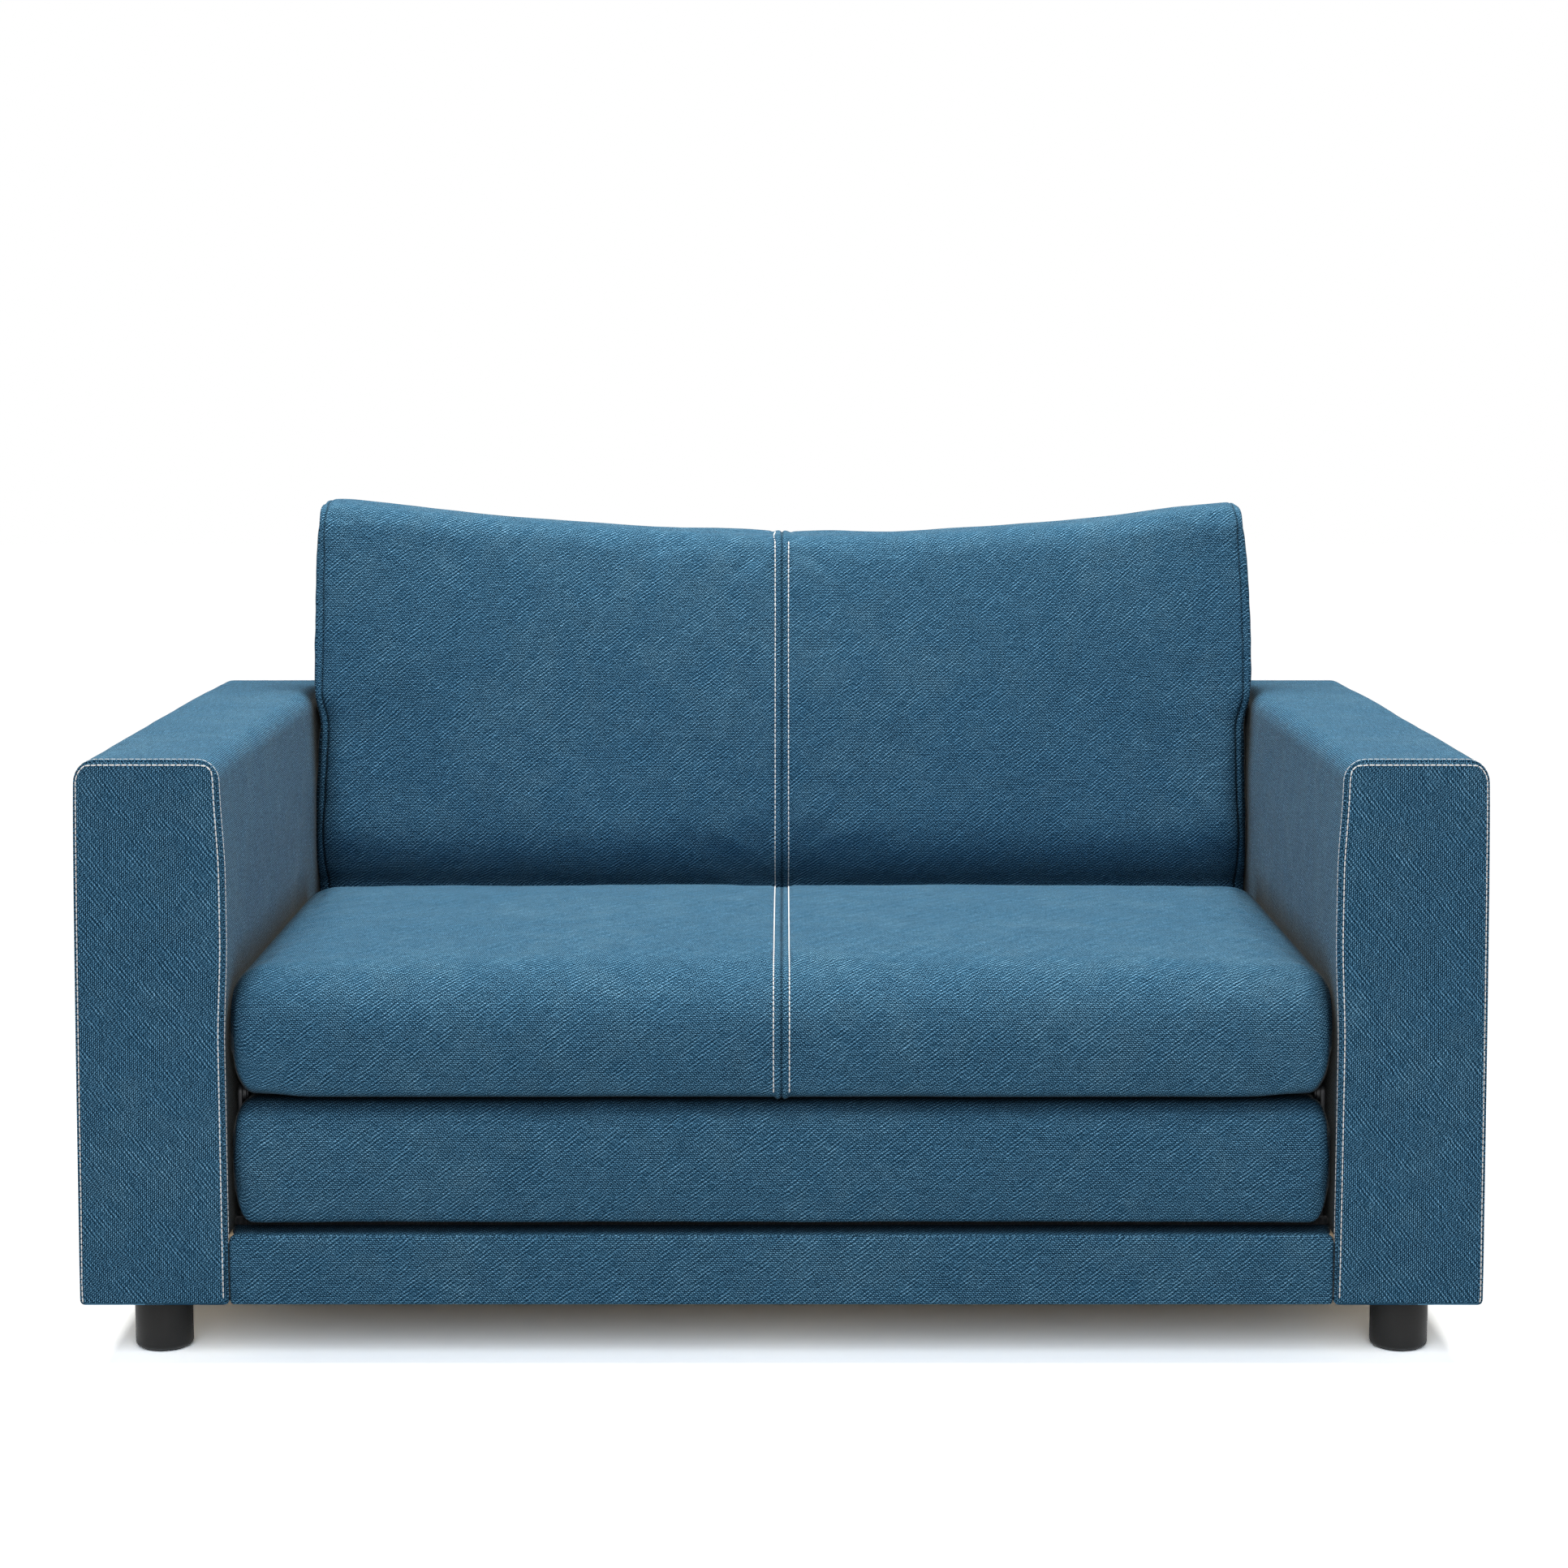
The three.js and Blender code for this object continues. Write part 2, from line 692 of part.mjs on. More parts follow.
// Hinge arms of the middle section. They dip under the fold, which clears the rear pad once it is open.
function add_hinge_arms(group) {
  const dip_top_z = main_hinge_z - contact_gap;
  const upright_front_y = middle_front_y + hinge_notch_clearance;
  const upright_back_y = upright_front_y + hinge_arm_width;
  const shape = new THREE.Shape();
  shape.moveTo(main_hinge_y, main_hinge_z - hinge_eye_radius);
  shape.lineTo(upright_back_y, main_hinge_z - hinge_eye_radius);
  shape.lineTo(upright_back_y, middle_board_low_z);
  shape.lineTo(upright_back_y + hinge_foot_length, middle_board_low_z);
  shape.lineTo(upright_back_y + hinge_foot_length, middle_top_z);
  shape.lineTo(upright_front_y, middle_top_z);
  shape.lineTo(upright_front_y, dip_top_z);
  shape.lineTo(main_hinge_y + hinge_eye_radius, dip_top_z);
  shape.absarc(main_hinge_y, main_hinge_z, hinge_eye_radius, 0, 1.5 * Math.PI);
  for (const side of [-1, 1]) {
    const plate = side_plate(side, shape, arm_plate_inner_x, arm_plate_outer_x);
    const ends = side_span(side, arm_plate_inner_x - cut_overrun, arm_plate_outer_x + cut_overrun);
    const hole = bar_along_x(hinge_pin_radius + hinge_pin_clearance, ...ends, main_hinge_y, main_hinge_z);
    piece(group, `main_hinge_arm_${side_name(side)}`, cut(plate, hole), "painted_steel");
  }
}

// Middle section: a board with its pad below, as it lies folded.
function add_middle_section(group) {
  const board = block(
    [-middle_half, middle_front_y, middle_board_low_z],
    [middle_half, seat_rear_y, middle_top_z],
  );
  piece(group, "middle_section_board", board, "plywood");
  const corners = [
    { y: seat_rear_y, z: middle_low_z, radius: middle_pad_corner, in_y: -1, in_z: 1 },
    { y: seat_rear_y, z: middle_low_z + middle_pad_height, radius: 0, in_y: -1, in_z: 0, steps: 2 },
    { y: middle_front_y, z: middle_low_z + middle_pad_height, radius: 0, in_y: 1, in_z: 0 },
    { y: middle_front_y, z: middle_low_z, radius: middle_pad_corner, in_y: 1, in_z: 1, steps: 2 },
  ];
  const heart = middle_of(corners);
  const pad = soft_pad(corners, heart, middle_half, false, 3, (x, y, z) => new THREE.Vector3(x, y, z));
  piece(group, "middle_section_pad", pad, "fabric");
  add_hinge_arms(group);
}

// One half of a butt hinge. Up is 1 for the leaf on the front section and -1 on the middle section.
function butt_leaf(centre_x, up) {
  const barrel_length = butt_leaf_length / 3;
  const leaf_y = [seat_rear_y + contact_gap, seat_rear_y + contact_gap + butt_leaf_thickness];
  const leaf_reach = butt_leaf_setback + butt_leaf_height;
  const leaf_z = [fold_axis_z + up * butt_leaf_setback, fold_axis_z + up * leaf_reach];
  leaf_z.sort((a, b) => a - b);
  const low_x = centre_x - butt_leaf_length / 2;
  const high_x = centre_x + butt_leaf_length / 2;
  const plate = block([low_x, leaf_y[0], leaf_z[0]], [high_x, leaf_y[1], leaf_z[1]]);
  const barrels =
    up > 0
      ? [[low_x + barrel_length + butt_barrel_gap, high_x - barrel_length - butt_barrel_gap]]
      : [
          [low_x, low_x + barrel_length],
          [high_x - barrel_length, high_x],
        ];
  const knuckles = barrels.flatMap(([from, to]) => {
    const tab_z = [fold_axis_z, fold_axis_z + up * (butt_leaf_setback + butt_leaf_height / 2)];
    tab_z.sort((a, b) => a - b);
    return [
      bar_along_x(butt_barrel_radius, from, to, fold_axis_y, fold_axis_z, 16),
      block([from, leaf_y[0] + contact_gap, tab_z[0]], [to, leaf_y[1], tab_z[1]]),
    ];
  });
  const leaf = join(plate, ...knuckles);
  const core_radius = up > 0 ? butt_pin_radius + butt_pin_clearance : butt_pin_radius;
  const core = bar_along_x(core_radius, low_x, high_x, fold_axis_y, fold_axis_z, 12);
  return up > 0 ? cut(leaf, core) : join(leaf, core);
}

// Front section: a tube frame with slats and the seat pad, whose thick front lip hides the fold.
function add_front_section(group) {
  for (const side of [-1, 1]) {
    const rail = side_block(
      side,
      frame_inner_x,
      frame_outer_x,
      [frame_front_y, frame_low_z],
      [frame_back_y, frame_top_z],
    );
    const ends = side_span(side, frame_inner_x - cut_overrun, frame_outer_x + cut_overrun);
    const bores = [rear_leg_axle_y, front_leg_axle_y].map((y) =>
      bar_along_x(leg_axle_radius + contact_gap, ...ends, y, leg_axle_z),
    );
    piece(group, `seat_frame_side_${side_name(side)}`, cut(rail, ...bores), "painted_steel");
  }
  const cross_half = frame_inner_x - contact_gap;
  const cross_low_y = { front: frame_front_y, rear: frame_back_y - frame_tube };
  for (const [end, y] of Object.entries(cross_low_y)) {
    const cross = block([-cross_half, y, frame_low_z], [cross_half, y + frame_tube, frame_top_z]);
    piece(group, `seat_frame_${end}`, cross, "painted_steel");
  }
  const slat_run = frame_back_y - frame_front_y - bed_slat_width;
  for (let i = 0; i < bed_slat_count; i++) {
    const low_y = frame_front_y + (slat_run * i) / (bed_slat_count - 1);
    const slat = block(
      [-frame_outer_x, low_y, frame_top_z + contact_gap],
      [frame_outer_x, low_y + bed_slat_width, bed_slat_top_z],
    );
    piece(group, `seat_slat_${i + 1}`, slat, "plywood");
  }
  add_seat_pad(group);
}

function add_seat_pad(group) {
  const rise = lip_end_rise_share;
  const bulge = { in_y: 1, in_radius: seat_front_draw_share };
  const low_bulge = { in_y: 1, in_z: rise, in_radius: lip_corner_draw_share };
  const corners = [
    { y: seat_rear_y, z: seat_low_z, radius: 0, in_y: -1, in_z: 0 },
    { y: seat_rear_y, z: seat_side_height, radius: seat_rear_corner, in_y: -1, in_z: -1, steps: 7 },
    { y: section_front_y, z: seat_side_height, radius: seat_front_corner, ...bulge, in_z: -1, steps: 2 },
    { y: section_front_y, z: lip_low_z, radius: lip_bottom_corner, ...low_bulge },
    { y: lip_back_y, z: lip_low_z, radius: lip_bottom_corner / 2, in_y: 0, in_z: rise, steps: 2 },
    { y: lip_back_y, z: seat_low_z, radius: 0, in_y: 0, in_z: 0 },
  ];
  const heart = { y: (section_front_y + lip_back_y) / 2, z: (seat_low_z + seat_side_height) / 2 };
  const body = soft_pad(corners, heart, pad_half, true, 5, (x, y, z) => {
    const across = swell(x, -pad_half, pad_half, crown_power);
    const along = swell(y, section_front_y, seat_rear_y, crown_power);
    const above = Math.max(0, (z - seat_low_z) / (seat_side_height - seat_low_z));
    return new THREE.Vector3(x, y, z + seat_crown * across * along * above);
  });
  const merged = to_geometry(to_solid(body));
  piece(group, "seat_pad", merged, "fabric");
}

// A pair of legs on one axle, folded flat inside the seat frame. Way is -1 where they point to the front.
function add_leg_set(group, end, axle_y, spread, way) {
  const axle_half = frame_outer_x - contact_gap;
  const axle = bar_along_x(leg_axle_radius, -axle_half, axle_half, axle_y, leg_axle_z);
  piece(group, `${end}_leg_axle`, axle, "painted_steel");
  for (const side of [-1, 1]) {
    const edge = [
      new THREE.Vector2(0, -leg_radius),
      new THREE.Vector2(leg_radius - leg_tip_bevel, -leg_radius),
      new THREE.Vector2(leg_radius, leg_tip_bevel - leg_radius),
      new THREE.Vector2(leg_radius, leg_length - leg_tip_bevel),
      new THREE.Vector2(leg_radius - leg_tip_bevel, leg_length),
      new THREE.Vector2(0, leg_length),
    ];
    const leg = new THREE.LatheGeometry(edge, 20);
    if (way < 0) leg.rotateX(Math.PI);
    leg.translate(side * spread, axle_y, leg_axle_z);
    const bore = bar_along_x(leg_axle_radius + contact_gap, -axle_half, axle_half, axle_y, leg_axle_z);
    piece(group, `${end}_leg_${side_name(side)}`, cut(leg, bore), "painted_steel");
  }
}

// Back cushion: loose, standing on the rear section and leaning on the raked back.
function add_back_cushion(group) {
  const corners = [
    { y: cushion_rear_y, z: 0, radius: cushion_corner, in_y: -1, in_z: 0, steps: 5 },
    { y: cushion_rear_y, z: cushion_height, radius: cushion_corner, in_y: -1, in_z: -1, steps: 2 },
    { y: cushion_front_y, z: cushion_height, radius: cushion_corner, in_y: 1, in_z: -1, steps: 6 },
    { y: cushion_front_y, z: 0, radius: cushion_corner, in_y: 1, in_z: 0, steps: 2 },
  ];
  const middle_y = (cushion_front_y + cushion_rear_y) / 2;
  const body = soft_pad(corners, middle_of(corners), pad_half, true, 5, (x, y, z) => {
    const across = swell(x, -pad_half, pad_half, crown_power);
    const up = swell(z, 0, cushion_height, crown_power);
    const side_of_middle = (y - middle_y) / (cushion_thickness / 2);
    const crown = side_of_middle < 0 ? cushion_front_crown : cushion_rear_crown;
    const height_share = z / cushion_height;
    const sag = cushion_top_sag * (1 - Math.abs(x / pad_half) ** sag_power) * height_share ** 2;
    const taper = 1 - (cushion_top_taper / pad_half) * height_share;
    const shaped_z = z - sag;
    return new THREE.Vector3(
      x * taper,
      y + crown * side_of_middle * across * up + shaped_z * rake,
      cushion_low_z + shaped_z,
    );
  });
  piece(group, "back_cushion", body, "fabric");
}

const sofa = new THREE.Group();
const frame = new THREE.Group();
for (const side of [-1, 1]) add_arm(frame, side);
add_feet(frame);
add_back(frame);
add_base(frame);
add_rear_section(frame);
add_main_brackets(frame);
sofa.add(frame);

const middle_section = new THREE.Group();
add_middle_section(middle_section);
for (const side of [-1, 1]) {
  const leaf = butt_leaf(side * butt_hinge_spread, -1);
  piece(middle_section, `butt_hinge_middle_leaf_${side_name(side)}`, leaf, "zinc_steel");
}
sofa.add(middle_section);

const front_section = new THREE.Group();
add_front_section(front_section);
for (const side of [-1, 1]) {
  const leaf = butt_leaf(side * butt_hinge_spread, 1);
  piece(front_section, `butt_hinge_seat_leaf_${side_name(side)}`, leaf, "zinc_steel");
}
add_leg_set(front_section, "rear", rear_leg_axle_y, rear_leg_spread, -1);
add_leg_set(front_section, "front", front_leg_axle_y, front_leg_spread, 1);
sofa.add(front_section);

add_back_cushion(sofa);

export default sofa;
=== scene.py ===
"""A two seat sleeper sofa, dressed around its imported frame: sewn cloth, timber, steel and a studio stage."""

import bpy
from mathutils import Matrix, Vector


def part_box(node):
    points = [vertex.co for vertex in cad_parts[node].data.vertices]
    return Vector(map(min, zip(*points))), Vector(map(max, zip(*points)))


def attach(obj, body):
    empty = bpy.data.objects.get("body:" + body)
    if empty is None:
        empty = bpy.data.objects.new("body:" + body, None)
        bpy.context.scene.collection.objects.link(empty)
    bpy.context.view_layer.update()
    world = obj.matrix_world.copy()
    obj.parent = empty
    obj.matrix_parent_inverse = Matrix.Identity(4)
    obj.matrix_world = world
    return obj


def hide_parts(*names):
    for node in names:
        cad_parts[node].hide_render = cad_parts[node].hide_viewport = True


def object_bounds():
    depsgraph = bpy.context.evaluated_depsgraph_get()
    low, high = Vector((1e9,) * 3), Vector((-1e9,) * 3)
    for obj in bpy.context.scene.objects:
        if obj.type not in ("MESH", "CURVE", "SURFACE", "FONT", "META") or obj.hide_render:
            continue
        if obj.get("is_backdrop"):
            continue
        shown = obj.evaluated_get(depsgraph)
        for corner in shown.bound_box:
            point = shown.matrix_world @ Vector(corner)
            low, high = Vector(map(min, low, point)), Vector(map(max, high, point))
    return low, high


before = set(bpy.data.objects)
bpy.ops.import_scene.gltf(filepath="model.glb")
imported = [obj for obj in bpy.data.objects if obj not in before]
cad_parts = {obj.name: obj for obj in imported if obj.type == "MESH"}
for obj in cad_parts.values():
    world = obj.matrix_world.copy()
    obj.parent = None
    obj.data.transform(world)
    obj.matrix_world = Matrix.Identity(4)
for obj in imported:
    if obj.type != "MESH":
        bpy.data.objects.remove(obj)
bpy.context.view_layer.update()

import math

import bmesh
import bpy
import numpy as np
from mathutils import Vector, noise
from mathutils.bvhtree import BVHTree

bl_info = {
    "name": "Sleeper sofa",
    "version": (1, 0, 0),
    "blender": (4, 5, 0),
    "location": "3D View > Sidebar > Sofa",
    "description": "Dresses a two seat sofa with a fold-out bed in sewn cloth, timber and steel",
    "category": "Add Mesh",
}

MM = 0.001
CLOTH_UV = "weave"
SIDES = {"left": -1, "right": 1}
NEAR = 0.05 * MM          # two places this close are the same place
TOUCH = 0.3 * MM          # what rests on a neighbour stays this far off it
SIDE_SPREAD = 1.4 * MM    # how far a pad may spread towards the arms beside it

# Soft forms
PAD_SPACING = 10 * MM
SEAM_LINES = [0, 1.2 * MM, 2.8 * MM, 5 * MM, 8 * MM, 10.4 * MM, 13 * MM, 17 * MM, 24 * MM]
SEAM_DEPTH = 2.8 * MM
SEAM_WIDTH = 1.3 * MM
DIMPLE_DEPTH = 0.7 * MM
DIMPLE_WIDTH = 1.6 * MM
STITCH_OFFSET = 8 * MM
STITCH_SHARE = 0.92
CLOTH_FRAMES = 20
CLOTH_START = 3 * MM
CLOTH_CAP = 8 * MM
CLOTH_STRAY = 2.5 * MM
MIDDLE_HELD = 8 * MM      # cloth this near the middle seam is held while a pad fills
END_FADE = 20 * MM        # dents fade out over this much at a pad's ends
END_DROP = 13 * MM        # how far a bed layer's outline draws in at its ends

# The seat's lip and the layer under it
SEAT_SIDE = 30.2 * MM     # height of the pad's sides over the slats
LIP_OPEN = 3.4 * MM       # from the second layer up to the lip's pattern, before it droops
LIP_DROOP = 8 * MM
LIP_TUCK = 8 * MM
LAYER_DROOP = 7 * MM
LAYER_TUCK = 7 * MM
LINING_SETBACK = 13 * MM

# The back cushion
TUCK_HEIGHT = 72 * MM     # the front draws in from this far over the seat
TUCK_UNDER = 24 * MM      # to this far under the seat's top
TUCK_DEPTH = 46 * MM
OVER_ARMS = 9.5 * MM      # how far the cushion spreads where it stands over the arms
OVER_ARMS_RISE = 40 * MM
EDGE_SEAM = 9 * MM
EDGE_SEAM_DEPTH = 1.8 * MM
EDGE_SEAM_WIDTH = 1.4 * MM

# Arms and covers
ARM_WALL = 12 * MM
ARM_TOP_ROUND = 22 * MM
PANEL_ROUND = 5 * MM
PANEL_SWELL = 2.2 * MM
ARM_LEAN_TOP = -0.8 * MM  # the arm's outer side stands this far out at its top
ARM_LEAN_FOOT = 6.2 * MM  # and this far at its foot
ARM_INNER_SWELL = 4.2 * MM
ARM_TOP_DIP = 2.5 * MM    # the arm's top is this much lower at the rear
ARM_SEAM_DEPTH = 1.5 * MM
ARM_SEAM_LIP = 0.25 * MM
GRID = 20 * MM            # spacing of the cuts that let a cover bend
BACK_WALL = 11 * MM
APRON_WALL = 5 * MM
BACK_RAKE = math.tan(math.radians(10))
APRON_EDGE_DROP = 4 * MM

# How the cloth looks
FIBRE_STRENGTH = (1.3, 1.04, 0.94)   # red, green and blue shares of the weave's contrast
LOUD_SHARE = 0.18         # evens the mean brightness where the weave is strong
# Painted shade: ambient occlusion darkens the cloth's colour in creases, recesses and where parts meet,
# looking this far, down to the tone set below
CREASE_SHADE_REACH = 45 * MM
CREASE_SHADE_SHUT, CREASE_SHADE_OPEN = 0.3, 0.9  # openness at which the painted shade is darkest, and where it ends
CREASE_SHADE_TONE = 0.14
SHEEN_WEIGHT = 0.13
SHEEN_ROUGHNESS = 0.2
SHEEN_TINT = (1, 1, 0.92, 1)

# Floor, lamps and camera
FLOOR_SIZE = 30
FLOOR_TONE = 0.62         # what the floor reflects onto the sofa
FLOOR_UNDER = 4.0         # what the camera sees of the light under the sofa
FLOOR_AROUND = 0.3        # and around it, where the floor glows too
FLOOR_GLOW = 0.85
FLOOR_TINT = (0.955, 1.0, 1.04)
SHADOW_IN, SHADOW_OUT = -0.05, 0.03  # from the footprint's edge: where the glow starts and is full
FAR_START, FAR_END = 1.7, 3.2        # distances over which the floor turns into the background
CAMERA_PLACE = (0.0026, -3.812, 1.025)
CAMERA_TILT = math.radians(82.85)
CAMERA_LENS = 77.97
CAMERA_SENSOR = 36


# Picking and shaping by hand


def free_hands():
    """Leaves edit mode and deselects everything."""
    active = bpy.context.view_layer.objects.active
    if active is not None and active.mode != "OBJECT":
        bpy.ops.object.mode_set(mode="OBJECT")
    bpy.ops.object.select_all(action="DESELECT")


def take(piece):
    free_hands()
    piece.select_set(True)
    bpy.context.view_layer.objects.active = piece
    return piece


def settle(piece):
    """Puts the piece's place, turn and size into its mesh."""
    take(piece)
    bpy.ops.object.transform_apply(location=True, rotation=True, scale=True)
    return piece


def named_block(name, low, high):
    """A block between two corners, to be shaped further."""
    free_hands()
    low, high = Vector(low), Vector(high)
    bpy.ops.mesh.primitive_cube_add(size=1, location=(low + high) / 2)
    piece = bpy.context.object
    piece.name = piece.data.name = name
    piece.scale = high - low
    return settle(piece)


def pick(piece, kind, test):
    """Opens the piece in edit mode with the corners, edges or faces selected that pass a test."""
    if bpy.context.object is not piece or piece.mode != "EDIT":
        take(piece)
        bpy.ops.object.mode_set(mode="EDIT")
    bpy.ops.mesh.select_mode(type=kind)
    bpy.ops.mesh.select_all(action="DESELECT")
    mesh = bmesh.from_edit_mesh(piece.data)
    items = {"VERT": mesh.verts, "EDGE": mesh.edges, "FACE": mesh.faces}[kind]
    for item in items:
        if test(item):
            item.select_set(True)
    mesh.select_flush_mode()
    bmesh.update_edit_mesh(piece.data)


def all_at(item, axis, value, slack=NEAR):
    return all(abs(corner.co[axis] - value) < slack for corner in item.verts)


def cut_grid(piece, axis, start, stop, spacing):
    """Cuts the whole piece at even places along an axis, so that it can bend softly."""
    take(piece)
    bpy.ops.object.mode_set(mode="EDIT")
    bpy.ops.mesh.select_mode(type="VERT")
    normal = [0, 0, 0]
    normal[axis] = 1
    count = max(1, round((stop - start) / spacing))
    for k in range(count + 1):
        place = [0, 0, 0]
        place[axis] = start + (stop - start) * k / count
        bpy.ops.mesh.select_all(action="SELECT")
        bpy.ops.mesh.bisect(plane_co=place, plane_no=normal)
    bpy.ops.object.mode_set(mode="OBJECT")


def with_modifier(piece, kind, **settings):
    """Applies one modifier to the piece."""
    take(piece)
    modifier = piece.modifiers.new(kind.title(), kind)
    for name, value in settings.items():
        setattr(modifier, name, value)
    bpy.ops.object.modifier_apply(modifier=modifier.name)


def get_points(piece):
    points = np.empty(len(piece.data.vertices) * 3)
    piece.data.vertices.foreach_get("co", points)
    return points.reshape(-1, 3)


def set_points(piece, points):
    piece.data.vertices.foreach_set("co", np.ascontiguousarray(points).ravel())
    piece.data.update()


def get_normals(piece):
    normals = np.empty(len(piece.data.vertices) * 3)
    piece.data.vertex_normals.foreach_get("vector", normals)
    return normals.reshape(-1, 3)


def soften(piece, degrees=35):
    take(piece)
    bpy.ops.object.shade_smooth_by_angle(angle=math.radians(degrees))


def ripple(points, size, seed):
    """Smooth noise from -1 to 1 at each point, with waves of about the given size."""
    shift = Vector((seed * 7.3, seed * 3.1, seed * 5.7))
    return np.array([noise.noise(Vector(p) / size + shift) for p in points])


def ramp(values, start, stop):
    """A smooth rise from nothing at one place to one at another."""
    share = np.clip((values - start) / (stop - start), 0, 1)
    return share * share * (3 - 2 * share)


def swell(values, low, high, power):
    """How far a soft face stands out, from nothing at both edges to one in the middle."""
    share = np.abs((2 * values - low - high) / (high - low))
    return np.clip(1 - share**power, 0, None)


def bell(values, width):
    return np.exp(-((values / width) ** 2))


def finish(piece, body, materials=(), stands_for=()):
    """Gives a piece its materials and its body, and hides the CAD parts that it stands for."""
    free_hands()
    if materials:
        piece.data.materials.clear()
        for material in materials:
            piece.data.materials.append(material)
    if stands_for:
        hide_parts(*stands_for)
    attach(piece, body)
    return piece


# Sewn pads


def resampled(path, count, crowd):
    """Points along a path, closer together at its two ends, without its last point."""
    steps = np.linalg.norm(np.diff(path, axis=0), axis=1)
    run = np.concatenate([[0], np.cumsum(steps)])
    share = np.arange(count) / count
    share = share - crowd * np.sin(2 * math.pi * share) / (2 * math.pi)
    return np.column_stack([np.interp(share * run[-1], run, path[:, k]) for k in range(2)])


def ring_points(corners, spans):
    """A closed outline in Y and Z with soft corners. Each span has its own number of points."""
    bends = []
    for i, (y, z, radius) in enumerate(corners):
        here = np.array((y, z))
        back = np.array(corners[i - 1][:2]) - here
        ahead = np.array(corners[(i + 1) % len(corners)][:2]) - here
        start = here + back / np.linalg.norm(back) * radius
        end = here + ahead / np.linalg.norm(ahead) * radius
        turn = np.linspace(0, 1, 17)[:, None]
        bends.append((1 - turn) ** 2 * start + 2 * turn * (1 - turn) * here + turn**2 * end)
    rows = []
    for i, (count, crowd) in enumerate(spans):
        path = np.vstack([bends[i][8:], bends[(i + 1) % len(bends)][:9]])
        rows.append(resampled(path, count, crowd))
    return np.vstack(rows)


def end_drop(from_end, reach, depth, power):
    """How far an outline has drawn in at a distance from the pad's end."""
    share = np.clip(1 - from_end / reach, 0, 1)
    return depth * (1 - (1 - share**power) ** (1 / power))


def pad_stations(half, reach, with_seam, edge_lines=()):
    """Where the sections of a pad stand along X: close together at its seams and at its round ends."""
    near = list(SEAM_LINES) if with_seam else [0]
    straight = half - max([reach, *edge_lines])
    count = round((straight - near[-1]) / PAD_SPACING)
    middle = list(np.linspace(near[-1], straight, count + 1)[1:])
    middle += [half - line for line in sorted(edge_lines, reverse=True)[1:]]
    end_steps = 8
    turns = [math.pi / 2 * k / end_steps for k in range(1, end_steps + 1)]
    ends = [half - reach * (1 - math.sin(turn)) for turn in turns]
    right = near + middle + ends
    return np.array([-x for x in right[:0:-1]] + right)


class Pad:
    """A closed pad of four-sided faces: one outline per station along X and a grid at each end."""

    def __init__(self, name, stations, corners_at, spans, grid, shape):
        self.stations = stations
        self.ring = sum(count for count, _ in spans)
        rings = []
        for x in stations:
            outline = ring_points(corners_at(x), spans)
            rings.append(np.column_stack([np.full(len(outline), x), outline]))
        body = shape(np.vstack(rings))
        rings = body.reshape(len(stations), self.ring, 3)
        self.faces, self.uvs = [], []
        self.lay_body(rings)
        points = [body]
        start = len(body)
        for end in (0, len(stations) - 1):
            inner, start = self.lay_end(rings, end, grid, start)
            points.append(inner)
        points = np.vstack(points)
        mesh = bpy.data.meshes.new(name)
        mesh.from_pydata(points.tolist(), [], self.faces)
        uv_map = mesh.uv_layers.new(name=CLOTH_UV)
        uv_map.data.foreach_set("uv", np.array(self.uvs, float).ravel())
        self.piece = bpy.data.objects.new(name, mesh)
        bpy.context.scene.collection.objects.link(self.piece)
        self.station_of = np.full(len(points), -1)
        self.station_of[: len(body)] = np.repeat(np.arange(len(stations)), self.ring)
        self.ring_of = np.full(len(points), -1)
        self.ring_of[: len(body)] = np.tile(np.arange(self.ring), len(stations))

    def on_rims(self):
        """Whether each point lies on one of the two end outlines."""
        return (self.station_of == 0) | (self.station_of == len(self.stations) - 1)

    def lay_body(self, rings):
        middle = rings[len(rings) // 2]
        steps = np.linalg.norm(np.diff(np.vstack([middle, middle[:1]]), axis=0), axis=1)
        along = np.concatenate([[0], np.cumsum(steps)])
        count = self.ring
        for s in range(len(rings) - 1):
            low, high = s * count, (s + 1) * count
            x, next_x = self.stations[s], self.stations[s + 1]
            for k in range(count):
                after = (k + 1) % count
                self.faces.append((low + k, low + after, high + after, high + k))
                v, next_v = -along[k], -along[k + 1]
                self.uvs += [(x, v), (x, next_v), (next_x, next_v), (next_x, v)]

    def lay_end(self, rings, end, grid, start):
        """Closes one end with a grid of faces between the four sides of its outline."""
        n, m = grid
        ring = rings[end]
        top, front = ring[: n + 1], ring[n : n + m + 1]
        bottom = ring[n + m : 2 * n + m + 1][::-1]
        rear = np.vstack([ring[2 * n + m :], ring[:1]])[::-1]
        base = end * self.ring
        points, index = [], {}
        for i in range(n + 1):
            index[i, 0] = base + i
            index[i, m] = base + 2 * n + m - i
        for j in range(1, m):
            index[n, j] = base + n + j
            index[0, j] = base + 2 * n + 2 * m - j
        for i in range(1, n):
            for j in range(1, m):
                a, b = i / n, j / m
                along = (1 - b) * top[i] + b * bottom[i]
                across = (1 - a) * rear[j] + a * front[j]
                corners = (
                    (1 - a) * (1 - b) * top[0]
                    + a * (1 - b) * top[n]
                    + (1 - a) * b * bottom[0]
                    + a * b * bottom[n]
                )
                index[i, j] = start + len(points)
                points.append(along + across - corners)
        flat = rings.reshape(-1, 3)
        place = {k: flat[k] if k < start else points[k - start] for k in index.values()}
        for i in range(n):
            for j in range(m):
                face = (index[i, j], index[i, j + 1], index[i + 1, j + 1], index[i + 1, j])
                if end:
                    face = face[::-1]
                self.faces.append(face)
                self.uvs += [tuple(place[number][1:]) for number in face]
        return np.array(points).reshape(-1, 3), start + len(points)


def face_outwards(piece):
    take(piece)
    bpy.ops.object.mode_set(mode="EDIT")
    bpy.ops.mesh.select_all(action="SELECT")
    bpy.ops.mesh.normals_make_consistent(inside=False)
    bpy.ops.object.mode_set(mode="OBJECT")


